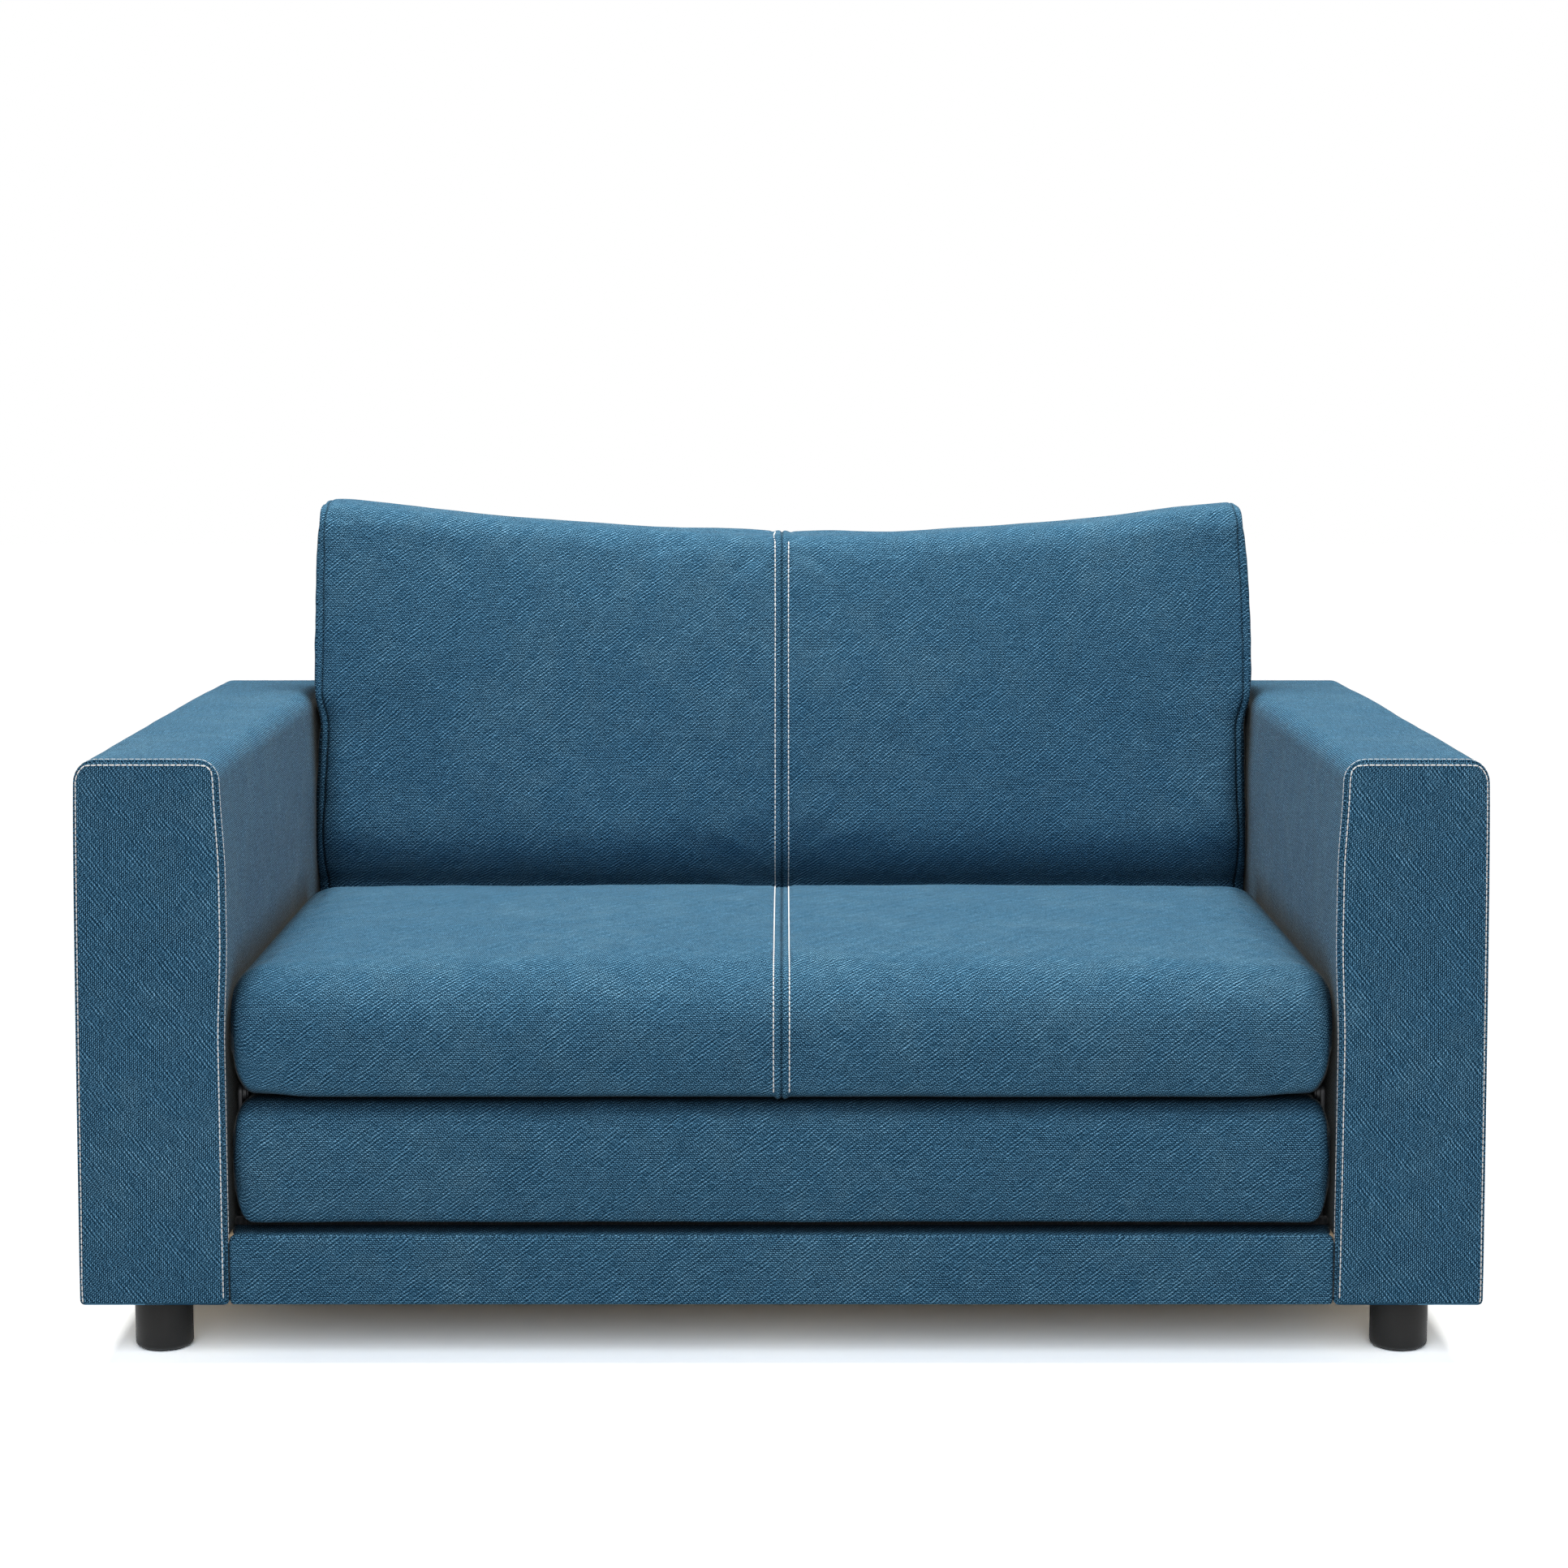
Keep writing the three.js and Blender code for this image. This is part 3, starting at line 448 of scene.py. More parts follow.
def swollen(pad, held):
    """Sews the pad's cloth slightly small, fills it with air and keeps it near its pattern.
    Held points are sewn down or rest on what carries them."""
    piece = pad.piece
    pattern = get_points(piece)
    start = pattern - get_normals(piece) * CLOTH_START * ~held[:, None]
    set_points(piece, start)
    group = piece.vertex_groups.new(name="sewn_down")
    group.add([int(i) for i in np.flatnonzero(held)], 1.0, "REPLACE")
    take(piece)
    cloth = piece.modifiers.new("Cloth", "CLOTH")
    cloth.settings.quality = 6
    cloth.settings.mass = 0.4
    cloth.settings.tension_stiffness = 12
    cloth.settings.compression_stiffness = 12
    cloth.settings.shear_stiffness = 4
    cloth.settings.bending_stiffness = 0.4
    cloth.settings.air_damping = 2
    cloth.settings.use_pressure = True
    cloth.settings.uniform_pressure_force = 4
    cloth.settings.shrink_min = -0.012
    cloth.settings.vertex_group_mass = group.name
    cloth.settings.effector_weights.gravity = 0
    cloth.collision_settings.use_collision = False
    cloth.point_cache.frame_start = 1
    cloth.point_cache.frame_end = CLOTH_FRAMES
    for step in range(1, CLOTH_FRAMES + 1):
        bpy.context.scene.frame_set(step)
    bpy.ops.object.modifier_apply(modifier=cloth.name)
    bpy.context.scene.frame_set(1)
    piece.vertex_groups.clear()
    moved = get_points(piece) - start
    length = np.linalg.norm(moved, axis=1, keepdims=True)
    moved *= np.minimum(1, CLOTH_CAP / np.maximum(length, 1e-9))
    stray = start + moved - pattern
    length = np.linalg.norm(stray, axis=1, keepdims=True)
    stray *= np.minimum(1, CLOTH_STRAY / np.maximum(length, 1e-9))
    set_points(piece, pattern + stray)


def sew_centre_seam(pad, first, last):
    """Draws in the middle seam and the two stitched lines beside it, along part of the outline."""
    points, normals = get_points(pad.piece), get_normals(pad.piece)
    place = pad.ring_of
    on_seam = (place >= first) & (place <= last)
    across = np.abs(points[:, 0])
    depth = SEAM_DEPTH * bell(across, SEAM_WIDTH)
    depth = depth + DIMPLE_DEPTH * bell(across - STITCH_OFFSET, DIMPLE_WIDTH)
    set_points(pad.piece, points - normals * (depth * on_seam)[:, None])


def weather(pad, amounts, free):
    """Gives the soft faces the slow dents of cloth that has been sat on. Amounts are pairs of a dent's
    size and depth, and free says how much of it each point takes."""
    points, normals = get_points(pad.piece), get_normals(pad.piece)
    total = np.zeros(len(points))
    for seed, (size, amount) in enumerate(amounts):
        total += amount * ripple(points, size, seed + 1)
    set_points(pad.piece, points + normals * (total * free)[:, None])


def finish_pad(pad, body, node, cloth="seam_shaded_cloth"):
    with_modifier(pad.piece, "SUBSURF", levels=1, render_levels=1)
    take(pad.piece)
    bpy.ops.object.shade_smooth()
    finish(pad.piece, body, [MATERIALS[cloth]], [node])


def hold_between(piece, half):
    """Keeps the sides of a pad from spreading further, clear of the arms."""
    points = get_points(piece)
    points[:, 0] = np.clip(points[:, 0], -half, half)
    set_points(piece, points)


def clear_of_ends(points, half):
    """One along a pad, falling to nothing at its two ends."""
    return ramp(np.abs(points[:, 0]), half, half - END_FADE)


def make_seat_pad(sizes):
    """The seat: a pad with a thick front lip that hides the fold."""
    low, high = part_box("seat_pad")
    half = high.x
    front_y, rear_y = low.y, high.y
    under_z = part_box("seat_slat_1")[1].z + TOUCH
    lip_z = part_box("rear_section_pad")[1].z + LIP_OPEN
    lip_back_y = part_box("seat_frame_front")[0].y - TOUCH
    side_z = under_z + SEAT_SIDE
    crown = high.z - side_z
    reach, lip_rise, belly_depth = 23 * MM, 44 * MM, 2.5 * MM

    def corners_at(x):
        from_end = half - abs(x)
        rise = end_drop(from_end, reach, lip_rise, 1.95)
        drop = end_drop(from_end, reach, END_DROP, 2)
        return [
            (rear_y - drop * 0.6, side_z - drop, 16 * MM),
            (front_y + drop, side_z - drop, 74 * MM - 1.8 * drop),
            (front_y + drop, lip_z + rise, 20 * MM - 0.22 * rise),
            (lip_back_y, lip_z + rise, 12 * MM - 0.12 * rise),
            (lip_back_y, under_z, 0),
            (rear_y - drop * 0.6, under_z, 0),
        ]

    def shape(points):
        x, y, z = points.T
        across = swell(x, -half, half, 3)
        along = swell(y, front_y, rear_y, 3)
        above = np.clip((z - under_z) / (side_z - under_z), 0, None)
        lift = crown * across * along * above
        belly = belly_depth * across * swell(z, lip_z, side_z, 2) * ramp(y, front_y + 40 * MM, front_y)
        in_lip = ramp(y, front_y + 24 * MM, front_y + 8 * MM) * ramp(z, lip_z + 45 * MM, lip_z + 5 * MM)
        inward = ramp(np.abs(x), half - 20 * MM, half - 80 * MM)
        droop = LIP_DROOP * in_lip * inward
        near_front = ramp(y, front_y + 30 * MM, front_y + 10 * MM)
        tuck = LIP_TUCK * np.clip((lip_z + 24 * MM - z) / (24 * MM), 0, 1) ** 2 * near_front * inward
        return np.column_stack([x, y - belly + tuck, z + lift - droop])

    tops, fronts, thick = 56, 17, 9
    spans = [(tops, 0.3), (fronts, 0.2), (thick, 0.2), (fronts, 0), (tops, 0), (thick, 0.1)]
    stations = pad_stations(half, reach, True)
    pad = Pad("seat_pad_cloth", stations, corners_at, spans, (tops + fronts, thick), shape)
    face_outwards(pad.piece)
    front_end = tops + fronts
    below = (pad.ring_of > front_end + 1) & (pad.ring_of < pad.ring - thick)
    middle = np.abs(get_points(pad.piece)[:, 0]) < MIDDLE_HELD
    swollen(pad, below | pad.on_rims() | middle | (pad.station_of < 0))
    points = get_points(pad.piece)
    free = ramp(points[:, 2], under_z, under_z + 20 * MM) + ramp(points[:, 1], front_y + 30 * MM, front_y)
    free = np.clip(free, 0, 1) * clear_of_ends(points, half)
    weather(pad, [(120 * MM, 1.2 * MM), (50 * MM, 0.6 * MM), (22 * MM, 0.25 * MM)], free)
    sew_centre_seam(pad, 3, front_end + 1)
    hold_between(pad.piece, half + SIDE_SPREAD)
    finish_pad(pad, "seat_section", "seat_pad")
    rows = []
    for x in (-STITCH_OFFSET, STITCH_OFFSET):
        rows.append(dense(lines_at(pad.piece, x, seat_path(front_y, rear_y, lip_z, high.z))))
    sew_rows("seat_stitching", rows, pad.piece, sizes, "seat_section")


def seat_path(front_y, rear_y, low_z, high_z):
    """A line in Y and Z over the seat's top, down its front and round its lip, outside its skin."""
    out, shoulder, lip = 20 * MM, 60 * MM, 14 * MM
    top = [(y, high_z + out) for y in np.linspace(rear_y - 12 * MM, front_y + shoulder, 60)]
    turn = []
    for a in np.linspace(0, math.pi / 2, 24):
        y = front_y + shoulder - (shoulder + out) * math.sin(a)
        turn.append((y, high_z - shoulder + (shoulder + out) * math.cos(a)))
    front = [(front_y - out, z) for z in np.linspace(high_z - shoulder, low_z + lip, 16)]
    under = []
    for a in np.linspace(0.05, 1.0, 10):
        y = front_y + lip - (lip + out) * math.cos(a)
        under.append((y, low_z + 10 * MM - (lip + out) * math.sin(a)))
    return top + turn + front + under


def lines_at(piece, x, path):
    """Lays a path in Y and Z onto a piece's skin at one place along X."""
    tree = BVHTree.FromObject(piece, bpy.context.evaluated_depsgraph_get())
    found = []
    for y, z in path:
        spot = Vector((x, y, z))
        for _ in range(3):
            near, _, _, _ = tree.find_nearest(spot)
            spot = Vector((x, near.y, near.z))
        found.append(spot)
    return found


def dense(points, spacing=1 * MM):
    """The same line with even, close points."""
    path = np.array([tuple(p) for p in points])
    steps = np.linalg.norm(np.diff(path, axis=0), axis=1)
    keep = np.concatenate([[True], steps > 1e-6])
    path = path[keep]
    run = np.concatenate([[0], np.cumsum(np.linalg.norm(np.diff(path, axis=0), axis=1))])
    places = np.arange(0, run[-1], spacing)
    return np.column_stack([np.interp(places, run, path[:, k]) for k in range(3)])


def stitch_template(radius):
    """One stitch of unit length along X: a thread that dips into the cloth at both ends."""
    free_hands()
    bpy.ops.mesh.primitive_uv_sphere_add(segments=6, ring_count=5, radius=1)
    stitch = bpy.context.object
    stitch.rotation_euler = (0, math.pi / 2, 0)
    settle(stitch)
    points = get_points(stitch)
    blunt = np.sign(points[:, 0]) * np.abs(points[:, 0]) ** 0.55
    height = points[:, 2] * radius * 0.8 - 0.2 * radius * blunt**2
    points = np.column_stack([blunt * 0.5, points[:, 1] * radius, height])
    faces = [tuple(face.vertices) for face in stitch.data.polygons]
    bpy.data.objects.remove(stitch)
    return points, faces


def sew_rows(name, rows, skin, sizes, body, weights=(1.3,)):
    """Sews rows of single stitches along lines on a piece's skin. Weights thicken the thread, row by row."""
    tree = BVHTree.FromObject(skin, bpy.context.evaluated_depsgraph_get())
    pitch, length = sizes.stitch_pitch, sizes.stitch_pitch * STITCH_SHARE
    points, all_faces = [], []
    for number, row in enumerate(rows):
        radius = sizes.thread_radius * weights[number % len(weights)]
        template, faces = stitch_template(radius)
        run = np.concatenate([[0], np.cumsum(np.linalg.norm(np.diff(row, axis=0), axis=1))])
        count = int(run[-1] / pitch)
        for k in range(count):
            ends = []
            for place in (k * pitch + 0.1 * pitch, k * pitch + 0.1 * pitch + length):
                ends.append(Vector([np.interp(place, run, row[:, a]) for a in range(3)]))
            near, normal, _, _ = tree.find_nearest((ends[0] + ends[1]) / 2)
            along = (ends[1] - ends[0]).normalized()
            normal = (normal - along * normal.dot(along)).normalized()
            across = normal.cross(along)
            turn = np.array([along, across, normal]).T
            centre = np.array(near + normal * radius * 0.45)
            base = len(points) * len(template)
            scaled = template * ((ends[1] - ends[0]).length, 1, 1)
            points.append(scaled @ turn.T + centre)
            all_faces += [tuple(base + i for i in face) for face in faces]
    mesh = bpy.data.meshes.new(name)
    mesh.from_pydata(np.vstack(points).tolist(), [], all_faces)
    piece = bpy.data.objects.new(name, mesh)
    bpy.context.scene.collection.objects.link(piece)
    take(piece)
    bpy.ops.object.shade_smooth()
    return finish(piece, body, [MATERIALS["thread"]])


def make_rear_pad():
    """The head third of the bed, seen as the second layer under the seat."""
    low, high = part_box("rear_section_pad")
    half, front_y, rear_y = high.x, low.y, high.y
    reach, front_rise, front_flat = 21 * MM, 32 * MM, 4 * MM

    def droop_at(y):
        return LAYER_DROOP * ramp(y, front_y + 15 * MM, front_y + 9 * MM)

    def corners_at(x):
        from_end = half - abs(x)
        rise = end_drop(from_end, reach, front_rise, 2.2)
        drop = end_drop(from_end, reach, END_DROP, 2)
        return [
            (rear_y, high.z - rise * 0.6, 12 * MM),
            (front_y + drop, high.z - rise, 26 * MM - 0.4 * rise),
            (front_y + drop, low.z + rise, 11 * MM - 0.1 * rise),
            (rear_y, low.z + rise * 0.6, 12 * MM),
        ]

    def shape(points):
        x, y, z = points.T
        near_front = np.clip(1 - (y - front_y) / (24 * MM), 0, 1)
        flatten = front_flat * near_front * (1 - swell(z, low.z, high.z, 2))
        droop = droop_at(y) * ramp(z, low.z + 20 * MM, low.z + 4 * MM)
        upper = np.clip((z - high.z + 26 * MM) / (26 * MM), 0, 1)
        tuck = LAYER_TUCK * upper**2 * np.clip(near_front * 1.5, 0, 1)
        return np.column_stack([x, y + flatten + tuck, z - droop])

    tops, fronts = 64, 16
    spans = [(tops, 0.3), (fronts, 0.3), (tops, 0.3), (fronts, 0.2)]
    stations = pad_stations(half, reach, False)
    pad = Pad("second_layer_cloth", stations, corners_at, spans, (tops, fronts), shape)
    face_outwards(pad.piece)
    rest = get_points(pad.piece)
    level = (np.abs(rest[:, 2] - low.z) < NEAR) | (np.abs(rest[:, 2] - high.z) < NEAR)
    swollen(pad, pad.on_rims() | (pad.station_of < 0) | level)
    free = ramp(rest[:, 1], front_y + 26 * MM, front_y + 6 * MM) * clear_of_ends(rest, half)
    weather(pad, [(110 * MM, 1.1 * MM), (45 * MM, 0.6 * MM), (20 * MM, 0.25 * MM)], free)
    points = get_points(pad.piece)
    points[:, 2] = np.clip(points[:, 2], low.z - droop_at(points[:, 1]), high.z)
    set_points(pad.piece, points)
    hold_between(pad.piece, half + SIDE_SPREAD)
    with_modifier(pad.piece, "SUBSURF", levels=1, render_levels=1)
    cut_hinge_notches(pad.piece)
    take(pad.piece)
    bpy.ops.object.shade_smooth_by_angle(angle=math.radians(50))
    finish(pad.piece, "frame", [MATERIALS["cloth"]], ["rear_section_pad"])


def cut_hinge_notches(piece):
    """Leaves room in the second layer for the main hinges and the sweep of their arms."""
    for side, sign in SIDES.items():
        bracket_low, bracket_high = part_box(f"main_hinge_bracket_{side}")
        gap, under, arm_half, arm_seat = 2 * MM, 60 * MM, 8 * MM, 16 * MM
        inner = min(abs(bracket_low.x), abs(bracket_high.x)) - TOUCH
        outer = abs(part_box("arm_cover_right")[0].x) + gap
        axis_y = (bracket_low.y + bracket_high.y) / 2
        axis_z = bracket_high.z - (bracket_high.y - bracket_low.y) / 2
        arm_end_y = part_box("middle_section_board")[0].y + arm_seat
        sweep = math.hypot(arm_end_y - axis_y, arm_half) + gap
        room = arm_half + gap
        boxes = [
            ((bracket_low.y - gap, bracket_low.z - under), (bracket_high.y + gap, bracket_high.z + gap)),
            ((bracket_low.y - gap, axis_z - room), (axis_y + sweep, axis_z + room)),
        ]
        for (low_y, low_z), (high_y, high_z) in boxes:
            xs = sorted((sign * inner, sign * outer))
            cutter = named_block("notch_cutter", (xs[0], low_y, low_z), (xs[1], high_y, high_z))
            take(piece)
            cut = piece.modifiers.new("Notch", "BOOLEAN")
            cut.operation = "DIFFERENCE"
            cut.object = cutter
            cut.solver = "EXACT"
            bpy.ops.object.modifier_apply(modifier=cut.name)
            bpy.data.objects.remove(cutter)


def make_middle_pad():
    """The middle third of the bed, folded upside down under the seat."""
    low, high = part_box("middle_section_pad")
    half = high.x
    reach = 20 * MM

    def corners_at(x):
        from_end = half - abs(x)
        drop = end_drop(from_end, reach, 12 * MM, 2)
        return [
            (high.y - drop, high.z, 4 * MM),
            (low.y + drop, high.z, 4 * MM),
            (low.y + drop, low.z + drop, 12 * MM),
            (high.y - drop, low.z + drop, 12 * MM),
        ]

    tops, fronts = 46, 7
    spans = [(tops, 0.2), (fronts, 0.2), (tops, 0.4), (fronts, 0.2)]
    stations = pad_stations(half, reach, False)
    pad = Pad("middle_layer_cloth", stations, corners_at, spans, (tops, fronts), lambda p: p)
    face_outwards(pad.piece)
    rest = get_points(pad.piece)
    swollen(pad, pad.on_rims() | (pad.station_of < 0) | (np.abs(rest[:, 2] - high.z) < 2 * MM))
    points = get_points(pad.piece)
    points = np.clip(points, (-half, low.y, low.z), (half, high.y, high.z))
    set_points(pad.piece, points)
    finish_pad(pad, "middle_section", "middle_section_pad", "cloth")


# The cushion's top edge: places across the sofa in metres, and how far it sags there in millimetres.
# A smooth curve with a few bends runs past them.
TOP_LINE = [
    (-0.56, 2), (-0.511, 0), (-0.472, 3.6), (-0.432, 7.8), (-0.354, 15.6), (-0.276, 22), (-0.198, 27.6),
    (-0.119, 32), (-0.041, 35.4), (0.037, 37.2), (0.1, 37), (0.155, 35.2), (0.233, 31), (0.311, 26),
    (0.389, 19.6), (0.429, 14.7), (0.468, 8.6), (0.507, 4), (0.56, 5),
]
TOP_LINE_BENDS = 8


def make_back_cushion(sizes):
    """The loose back cushion, whose top edge sags between its two corners."""
    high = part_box("back_cushion")[1]
    base_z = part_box("rear_section_pad")[1].z + TOUCH
    height = high.z - base_z
    half = high.x
    back_front_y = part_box("back_cover")[0].y
    rear_crown, front_crown, thickness = 7 * MM, 22 * MM, 118 * MM
    rear_y = back_front_y - TOUCH - rear_crown
    front_y = rear_y - thickness
    middle_y = (front_y + rear_y) / 2
    reach, corner, top_draw, side_wave = 4 * MM, 26 * MM, 13 * MM, 1.6 * MM
    arm_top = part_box("arm_cover_right")[1].z
    tuck_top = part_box("seat_pad")[1].z + TUCK_HEIGHT
    line = np.array(TOP_LINE)
    fit = np.polynomial.chebyshev.Chebyshev.fit(line[:, 0], line[:, 1] * MM, TOP_LINE_BENDS)

    def corners_at(x):
        from_end = half - abs(x)
        drop = end_drop(from_end, reach, 1.5 * MM, 2.1)
        deep = end_drop(from_end, reach, 4 * MM, 2.1)
        return [
            (rear_y - deep, height - drop, corner),
            (front_y + deep, height - drop, corner),
            (front_y + deep, 0, corner),
            (rear_y - deep, 0, corner),
        ]

    def shape(points):
        x, y, z = points.T
        across = swell(x, -half, half, 3)
        up = swell(z, 0, height, 3)
        side = (y - middle_y) / (thickness / 2)
        crown = np.where(side < 0, front_crown, rear_crown)
        share = z / height
        drop = fit(x) * share**2
        over_arms = ramp(base_z + z, arm_top - OVER_ARMS_RISE, arm_top)
        taper = 1 + (OVER_ARMS * over_arms - top_draw * share**2) / half
        wave = side_wave * np.sin(z / height * 9 + np.sign(x)) * np.clip(np.abs(x) / half, 0, 1) ** 6
        new_z = z - drop
        tuck_share = np.clip((tuck_top - base_z - new_z) / (TUCK_HEIGHT + TUCK_UNDER), 0, 1)
        tuck = TUCK_DEPTH * tuck_share**3 * np.clip(-side, 0, 1)
        new_y = y + crown * side * across * up + new_z * BACK_RAKE + tuck
        return np.column_stack([x * taper + wave * np.sign(x), new_y, base_z + new_z])

    tops, sides = 14, 56
    spans = [(tops, 0.3), (sides, 0.3), (tops, 0.3), (sides, 0.3)]
    stations = pad_stations(half, reach, True, [EDGE_SEAM + step * MM for step in (-2.4, -1, 0, 1, 2.4, 5)])
    pad = Pad("back_cushion_cloth", stations, corners_at, spans, (tops, sides), shape)
    face_outwards(pad.piece)
    middle = np.abs(get_points(pad.piece)[:, 0]) < MIDDLE_HELD
    bottom = (pad.ring_of > tops + sides + 1) & (pad.ring_of < 2 * tops + sides - 1)
    swollen(pad, pad.on_rims() | middle | bottom)
    free = clear_of_ends(get_points(pad.piece), half)
    weather(pad, [(150 * MM, 2.2 * MM), (60 * MM, 1.0 * MM), (24 * MM, 0.3 * MM)], free)
    sew_centre_seam(pad, 0, pad.ring)
    points = get_points(pad.piece)
    normals = get_normals(pad.piece)
    from_seam = half - EDGE_SEAM - np.abs(stations[pad.station_of])
    depth = EDGE_SEAM_DEPTH * bell(from_seam, EDGE_SEAM_WIDTH) * (pad.station_of >= 0)
    points -= normals * depth[:, None]
    points[:, 2] = np.maximum(points[:, 2], base_z)
    limit = back_front_y - TOUCH + np.clip(points[:, 2] - base_z, 0, None) * BACK_RAKE
    points[:, 1] = np.minimum(points[:, 1], limit)
    set_points(pad.piece, points)
    over_arms = ramp(points[:, 2], arm_top - OVER_ARMS_RISE, arm_top)
    hold_between(pad.piece, half + SIDE_SPREAD + OVER_ARMS * over_arms)
    finish_pad(pad, "back_cushion", "back_cushion", "boxed_cloth")
    rows = []
    for x in (-STITCH_OFFSET, STITCH_OFFSET):
        path = []
        for z in np.linspace(base_z + height - 6 * MM, base_z + 12 * MM, 70):
            path.append((front_y - 60 * MM + (z - base_z) * BACK_RAKE, z))
        rows.append(dense(front_line(pad.piece, x, path)))
    sew_rows("cushion_stitching", rows, pad.piece, sizes, "back_cushion")


def front_line(piece, x, path):
    """The line where rays along +Y meet the piece's front."""
    tree = BVHTree.FromObject(piece, bpy.context.evaluated_depsgraph_get())
    found = []
    for y, z in path:
        hit, _, _, _ = tree.ray_cast(Vector((x, y - 0.1, z)), Vector((0, 1, 0)))
        if hit is not None:
            found.append(hit)
    return found


# Upholstered covers


def lay_cloth_by_side(piece):
    """Lays the cloth flat on each side of a cover, along the axis that the side faces most."""
    mesh = piece.data
    layer = mesh.uv_layers.get(CLOTH_UV) or mesh.uv_layers.new(name=CLOTH_UV)
    for face in mesh.polygons:
        axis = max(range(3), key=lambda k: abs(face.normal[k]))
        u, v = {0: (1, 2), 1: (0, 2), 2: (0, 1)}[axis]
        for loop in face.loop_indices:
            spot = mesh.vertices[mesh.loops[loop].vertex_index].co
            layer.data[loop].uv = (spot[u], spot[v])


def make_arm(side, sizes):
    """One arm: a shell of cloth with a sewn panel at its front and its rear."""
    low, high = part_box(f"arm_cover_{side}")
    outward = SIDES[side]
    cover = named_block(f"arm_{side}_cloth", low, high)
    pick(cover, "EDGE", lambda e: all_at(e, 2, high.z) and abs(e.verts[0].co.x - e.verts[1].co.x) < NEAR)
    bpy.ops.mesh.bevel(offset=ARM_TOP_ROUND, segments=8, affect="EDGES")
    pick(cover, "FACE", lambda f: all_at(f, 2, low.z))
    bpy.ops.mesh.inset(thickness=ARM_WALL)
    bpy.ops.mesh.extrude_region_move(TRANSFORM_OT_translate={"value": (0, 0, high.z - low.z - ARM_WALL)})

    def is_panel_edge(edge):
        on_end = all_at(edge, 1, low.y) or all_at(edge, 1, high.y)
        on_foot = all_at(edge, 2, low.z) and (all_at(edge, 0, low.x) or all_at(edge, 0, high.x))
        return on_end or on_foot

    pick(cover, "EDGE", is_panel_edge)
    bpy.ops.mesh.bevel(offset=PANEL_ROUND, segments=4, affect="EDGES")
    bpy.ops.object.mode_set(mode="OBJECT")
    margin = 14 * MM
    cut_grid(cover, 1, low.y + margin, high.y - margin, GRID)
    cut_grid(cover, 2, low.z + margin, high.z - ARM_TOP_ROUND - 4 * MM, GRID)
    cut_grid(cover, 0, low.x + ARM_TOP_ROUND + 4 * MM, high.x - ARM_TOP_ROUND - 4 * MM, GRID)
    rest = get_points(cover)
    lay_arm_cloth(cover, rest, low, high, outward)
    shape_arm(cover, rest, low, high, outward)
    soften(cover, 60)
    finish(cover, "frame", [MATERIALS["cloth"]], [f"arm_cover_{side}"])
    stitch_arm(cover, side, low, high, outward, sizes)


def girth(out_x, z, width, height, radius):
    """How far round the arm a point lies, from the foot of its outer side over the top."""
    wall = height - radius
    corner = radius * math.pi / 2
    if z <= wall:
        return z if out_x < width / 2 else 2 * (wall + corner) + width - 2 * radius - z
    if out_x < radius:
        return wall + radius * math.atan2(z - wall, radius - out_x)
    if out_x > width - radius:
        turn = math.atan2(out_x - (width - radius), z - wall)
        return wall + corner + width - 2 * radius + radius * turn
    return wall + corner + out_x - radius


def lay_arm_cloth(cover, rest, low, high, outward):
    """Cloth on an arm: rows run upright on the two end panels and along the arm everywhere else."""
    mesh = cover.data
    layer = mesh.uv_layers.get(CLOTH_UV) or mesh.uv_layers.new(name=CLOTH_UV)
    seam = PANEL_ROUND * (1 - math.cos(math.pi / 4)) + NEAR
    outer_x = high.x if outward > 0 else low.x
    width, height = high.x - low.x, high.z - low.z
    for face in mesh.polygons:
        depth = [min(rest[i][1] - low.y, high.y - rest[i][1]) for i in face.vertices]
        on_panel = max(depth) < seam
        for loop in face.loop_indices:
            x, y, z = rest[mesh.loops[loop].vertex_index]
            if on_panel:
                layer.data[loop].uv = (-z, x)
            else:
                layer.data[loop].uv = (y, girth(abs(x - outer_x), z - low.z, width, height, ARM_TOP_ROUND))


def arm_lean(z, top_z):
    """How far the arm's outer side stands out at a height: the arm is a little narrower at its top."""
    share = np.clip((top_z - 16 * MM - z) / (top_z - 111 * MM), 0, 1)
    return ARM_LEAN_TOP + (ARM_LEAN_FOOT - ARM_LEAN_TOP) * share**0.6


def arm_inner_swell(z, top_z):
    """How far the arm's inner side stands out over the seat."""
    return ARM_INNER_SWELL * ramp(z, top_z - 19 * MM, top_z - 119 * MM) * ramp(z, 330 * MM, 450 * MM)


def arm_shift(x, z, low, high, outward):
    """How far the arm's lean and swell move its cloth along X."""
    share = (x - low.x) / (high.x - low.x)
    share = share if outward > 0 else 1 - share
    return outward * (share * arm_lean(z, high.z) - (1 - share) * arm_inner_swell(z, high.z))


